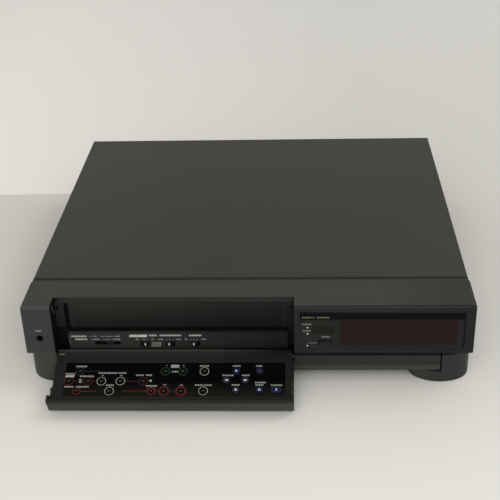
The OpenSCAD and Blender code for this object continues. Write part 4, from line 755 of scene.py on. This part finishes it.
add_patch(plate_block, [(-72.7, -45.4), (-65.5, -45.4), (-65.1, -45.0), (-65.1, -42.4),
                        (-65.5, -42.0), (-72.7, -42.0), (-73.1, -42.4), (-73.1, -45.0)],
          ink_low, ink_high, plate_face)
add_piece("plate_block", plate_block, dim_ink, "control_flap")
# Painted highlight: light bars on the hinge bosses stand for the light they catch.
boss_highlight = grained("boss_highlight_paint", paint(112, 112, 106), 0.45, grain=900.0, change=0.3, blotch=260.0)
boss_face = swing @ upright(9.2, 1)
web = bmesh.new()
add_patch(web, [(-186.4, -7.2), (-184.1, -7.2), (-184.1, -15.4), (-184.9, -15.2), (-186.4, -12.2)],
          -5.6, -0.4, plate_face)
add_piece("flap_end_web", web, inner_black, "control_flap")
# A shaded copy of the boss highlight, for the right boss.
boss_highlight_dim = grained("boss_highlight_shaded", paint(50, 50, 48), 0.45, grain=900.0, change=0.3,
                   blotch=260.0)
for side, left, right, finish in (("left", -182.4, -177.6, boss_highlight), ("right", 37.4, 42.0, boss_highlight_dim)):
    glint_bar = bmesh.new()
    add_bar(glint_bar, left, right, -56.5, 0.9, boss_face)
    add_piece("boss_glint_" + side, glint_bar, finish, "control_flap")

# Keys: small round caps moulded in black, or in blue, grey-blue or violet for the tape keys, each
# with a dished top. They stand on the key board and come up through the inner cover and its plate.
# Their signs are hot-stamped on them. A light dash on each black cap and the lighter rims of the tape
# keys' caps are painted highlights.
dark_cap = grained("dark_cap", paint(5, 5, 4), 0.3, depth=0.0, change=0.1, sheen=0.05, wear_and_edge_light=1.0)
tape_caps = {
    "blue_cap": (paint(16, 19, 46), ("play_key", "pause_key", "eject_key")),
    "grey_blue_cap": (paint(27, 29, 38), ("rewind_key", "forward_key", "stop_key")),
    "violet_cap": (paint(22, 16, 36), ("record_key",))}
for name in node:
    if name.endswith("_key"):
        finish_nodes(dark_cap, name)
# Painted highlight: the tape keys' caps get much lighter rims, as light catches them.
for cap_name, (tone, names) in tape_caps.items():
    finish_nodes(grained(cap_name, tone, 0.3, depth=0.0, change=0.1, sheen=0.1, wear_and_edge_light=3.0), *names)
stamp = ink("stamp_ink", paint(196, 200, 214))
# Painted highlight for the black caps' dished tops.
cap_glint_tone = ink("cap_glint_paint", paint(92, 88, 78))


def arrow(across, way, size):
    """A small triangle beside the key's middle that points to the right or left."""
    return [(across - 0.55 * size * way, -0.75 * size), (across + 0.65 * size * way, 0),
            (across - 0.55 * size * way, 0.75 * size)]


def upright_block(left, right, low, high):
    """The outline of a block with level and upright sides, beside the key's middle."""
    return [(left, low), (right, low), (right, high), (left, high)]


sign_shapes = {
    "play": [arrow(0, 1, 1.6)],
    "rewind": [arrow(-0.7, -1, 1.3), arrow(0.8, -1, 1.3)],
    "forward": [arrow(-0.7, 1, 1.3), arrow(0.8, 1, 1.3)],
    "stop": [upright_block(-0.9, 0.9, -0.9, 0.9)],
    "pause": [upright_block(-1.1, -0.4, -1.1, 1.1), upright_block(0.3, 1.0, -1.1, 1.1)],
    "eject": [[(-1.2, 0.2), (1.2, 0.2), (0, -1.3)], upright_block(-1.1, 1.1, 0.6, 0.9)]}
sign_low, sign_high, eject_sign_high, dot_high, dot_radius = 0.45, 0.75, 1.0, 0.72, 0.95
for name, outlines in sign_shapes.items():
    across, drop, radius = key_spots[name]
    top = eject_sign_high if name == "eject" else sign_high
    sign = bmesh.new()
    for outline in outlines:
        add_patch(sign, [(across + u, drop + v) for u, v in outline], sign_low, top, plate_face)
    add_piece(name + "_sign", sign, stamp, name)
# Painted highlight: a light dash on each black cap stands for the highlight in its dished top.
cap_glint_low, cap_glint_high = 0.4, 0.66
for name, (across, drop, radius) in key_spots.items():
    if radius != tape_radius:
        cap_glint = bmesh.new()
        add_patch(cap_glint, [(across - 1.3, drop + 0.25), (across + 1.3, drop - 0.7),
                         (across + 1.4, drop - 0.25), (across - 1.0, drop + 0.75)],
                  cap_glint_low, cap_glint_high, plate_face)
        add_piece(name + "_glint_dash", cap_glint, cap_glint_tone, name)
dot = bmesh.new()
add_turned(dot, key_spots["record"], [(0.01, sign_low), (dot_radius, sign_low), (dot_radius, dot_high),
                                      (0.01, dot_high)], plate_face, steps=24)
add_piece("record_sign", dot, ink("record_ink", paint(62, 50, 84)), "record")

# Mechanism: the deck's pressed steel with its posts, a two-part aluminium head drum turned smooth,
# the capstan with its rubber pinch roller, moulded reel tables, and the carriage that draws the
# tape in.
steel = grained("deck_steel", paint(150, 151, 150), 0.35, grain=300.0, change=0.15, wear_and_edge_light=0.2,
                metal=0.9)
finish_nodes(steel, "deck_plate", "deck_posts", "carriage_frame", "carriage_slider", "cassette_cradle",
             "capstan", "aerial_sockets")
turned = grained("turned_aluminium", paint(190, 191, 193), 0.22, grain=500.0, change=0.05, metal=1.0)
finish_nodes(turned, "lower_drum", "upper_drum")
finish_nodes(rubber, "pinch_arm")
finish_nodes(knob_black, "reel_table_left", "reel_table_right", "mains_inlet")

# Electrics: green glass-fibre boards, the transformer with its brown laminated core, and an ivory
# block of phono sockets. Coloured collars mark the picture and sound sockets.
board_green = grained("board_green", paint(48, 84, 52), 0.4, grain=500.0, change=0.2)
finish_nodes(board_green, "main_board", "flap_board")
core_brown = grained("core_brown", paint(92, 82, 70), 0.55, wear_and_edge_light=0.3)
finish_nodes(core_brown, "power_transformer")
ivory = grained("socket_ivory", paint(188, 182, 160), 0.4)
finish_nodes(ivory, "phono_sockets")
for across, name, tone in ((135, "right", paint(150, 38, 34)), (150, "left", paint(196, 192, 182)),
                           (165, "picture", paint(196, 158, 42))):
    for drop, row in ((-34.5, "upper"), (-49.5, "lower")):
        collar = bmesh.new()
        add_turned(collar, (across, drop), [(4.9, 0.02), (6.4, 0.02), (6.4, 0.5), (6.1, 0.8),
                                            (4.9, 0.8)], rear_face, steps=36)
        collar_tone = grained("collar_%s_%s" % (name, row), tone, 0.35, depth=0.0)
        add_piece("phono_collar_%s_%s" % (name, row), collar, collar_tone, "casing")
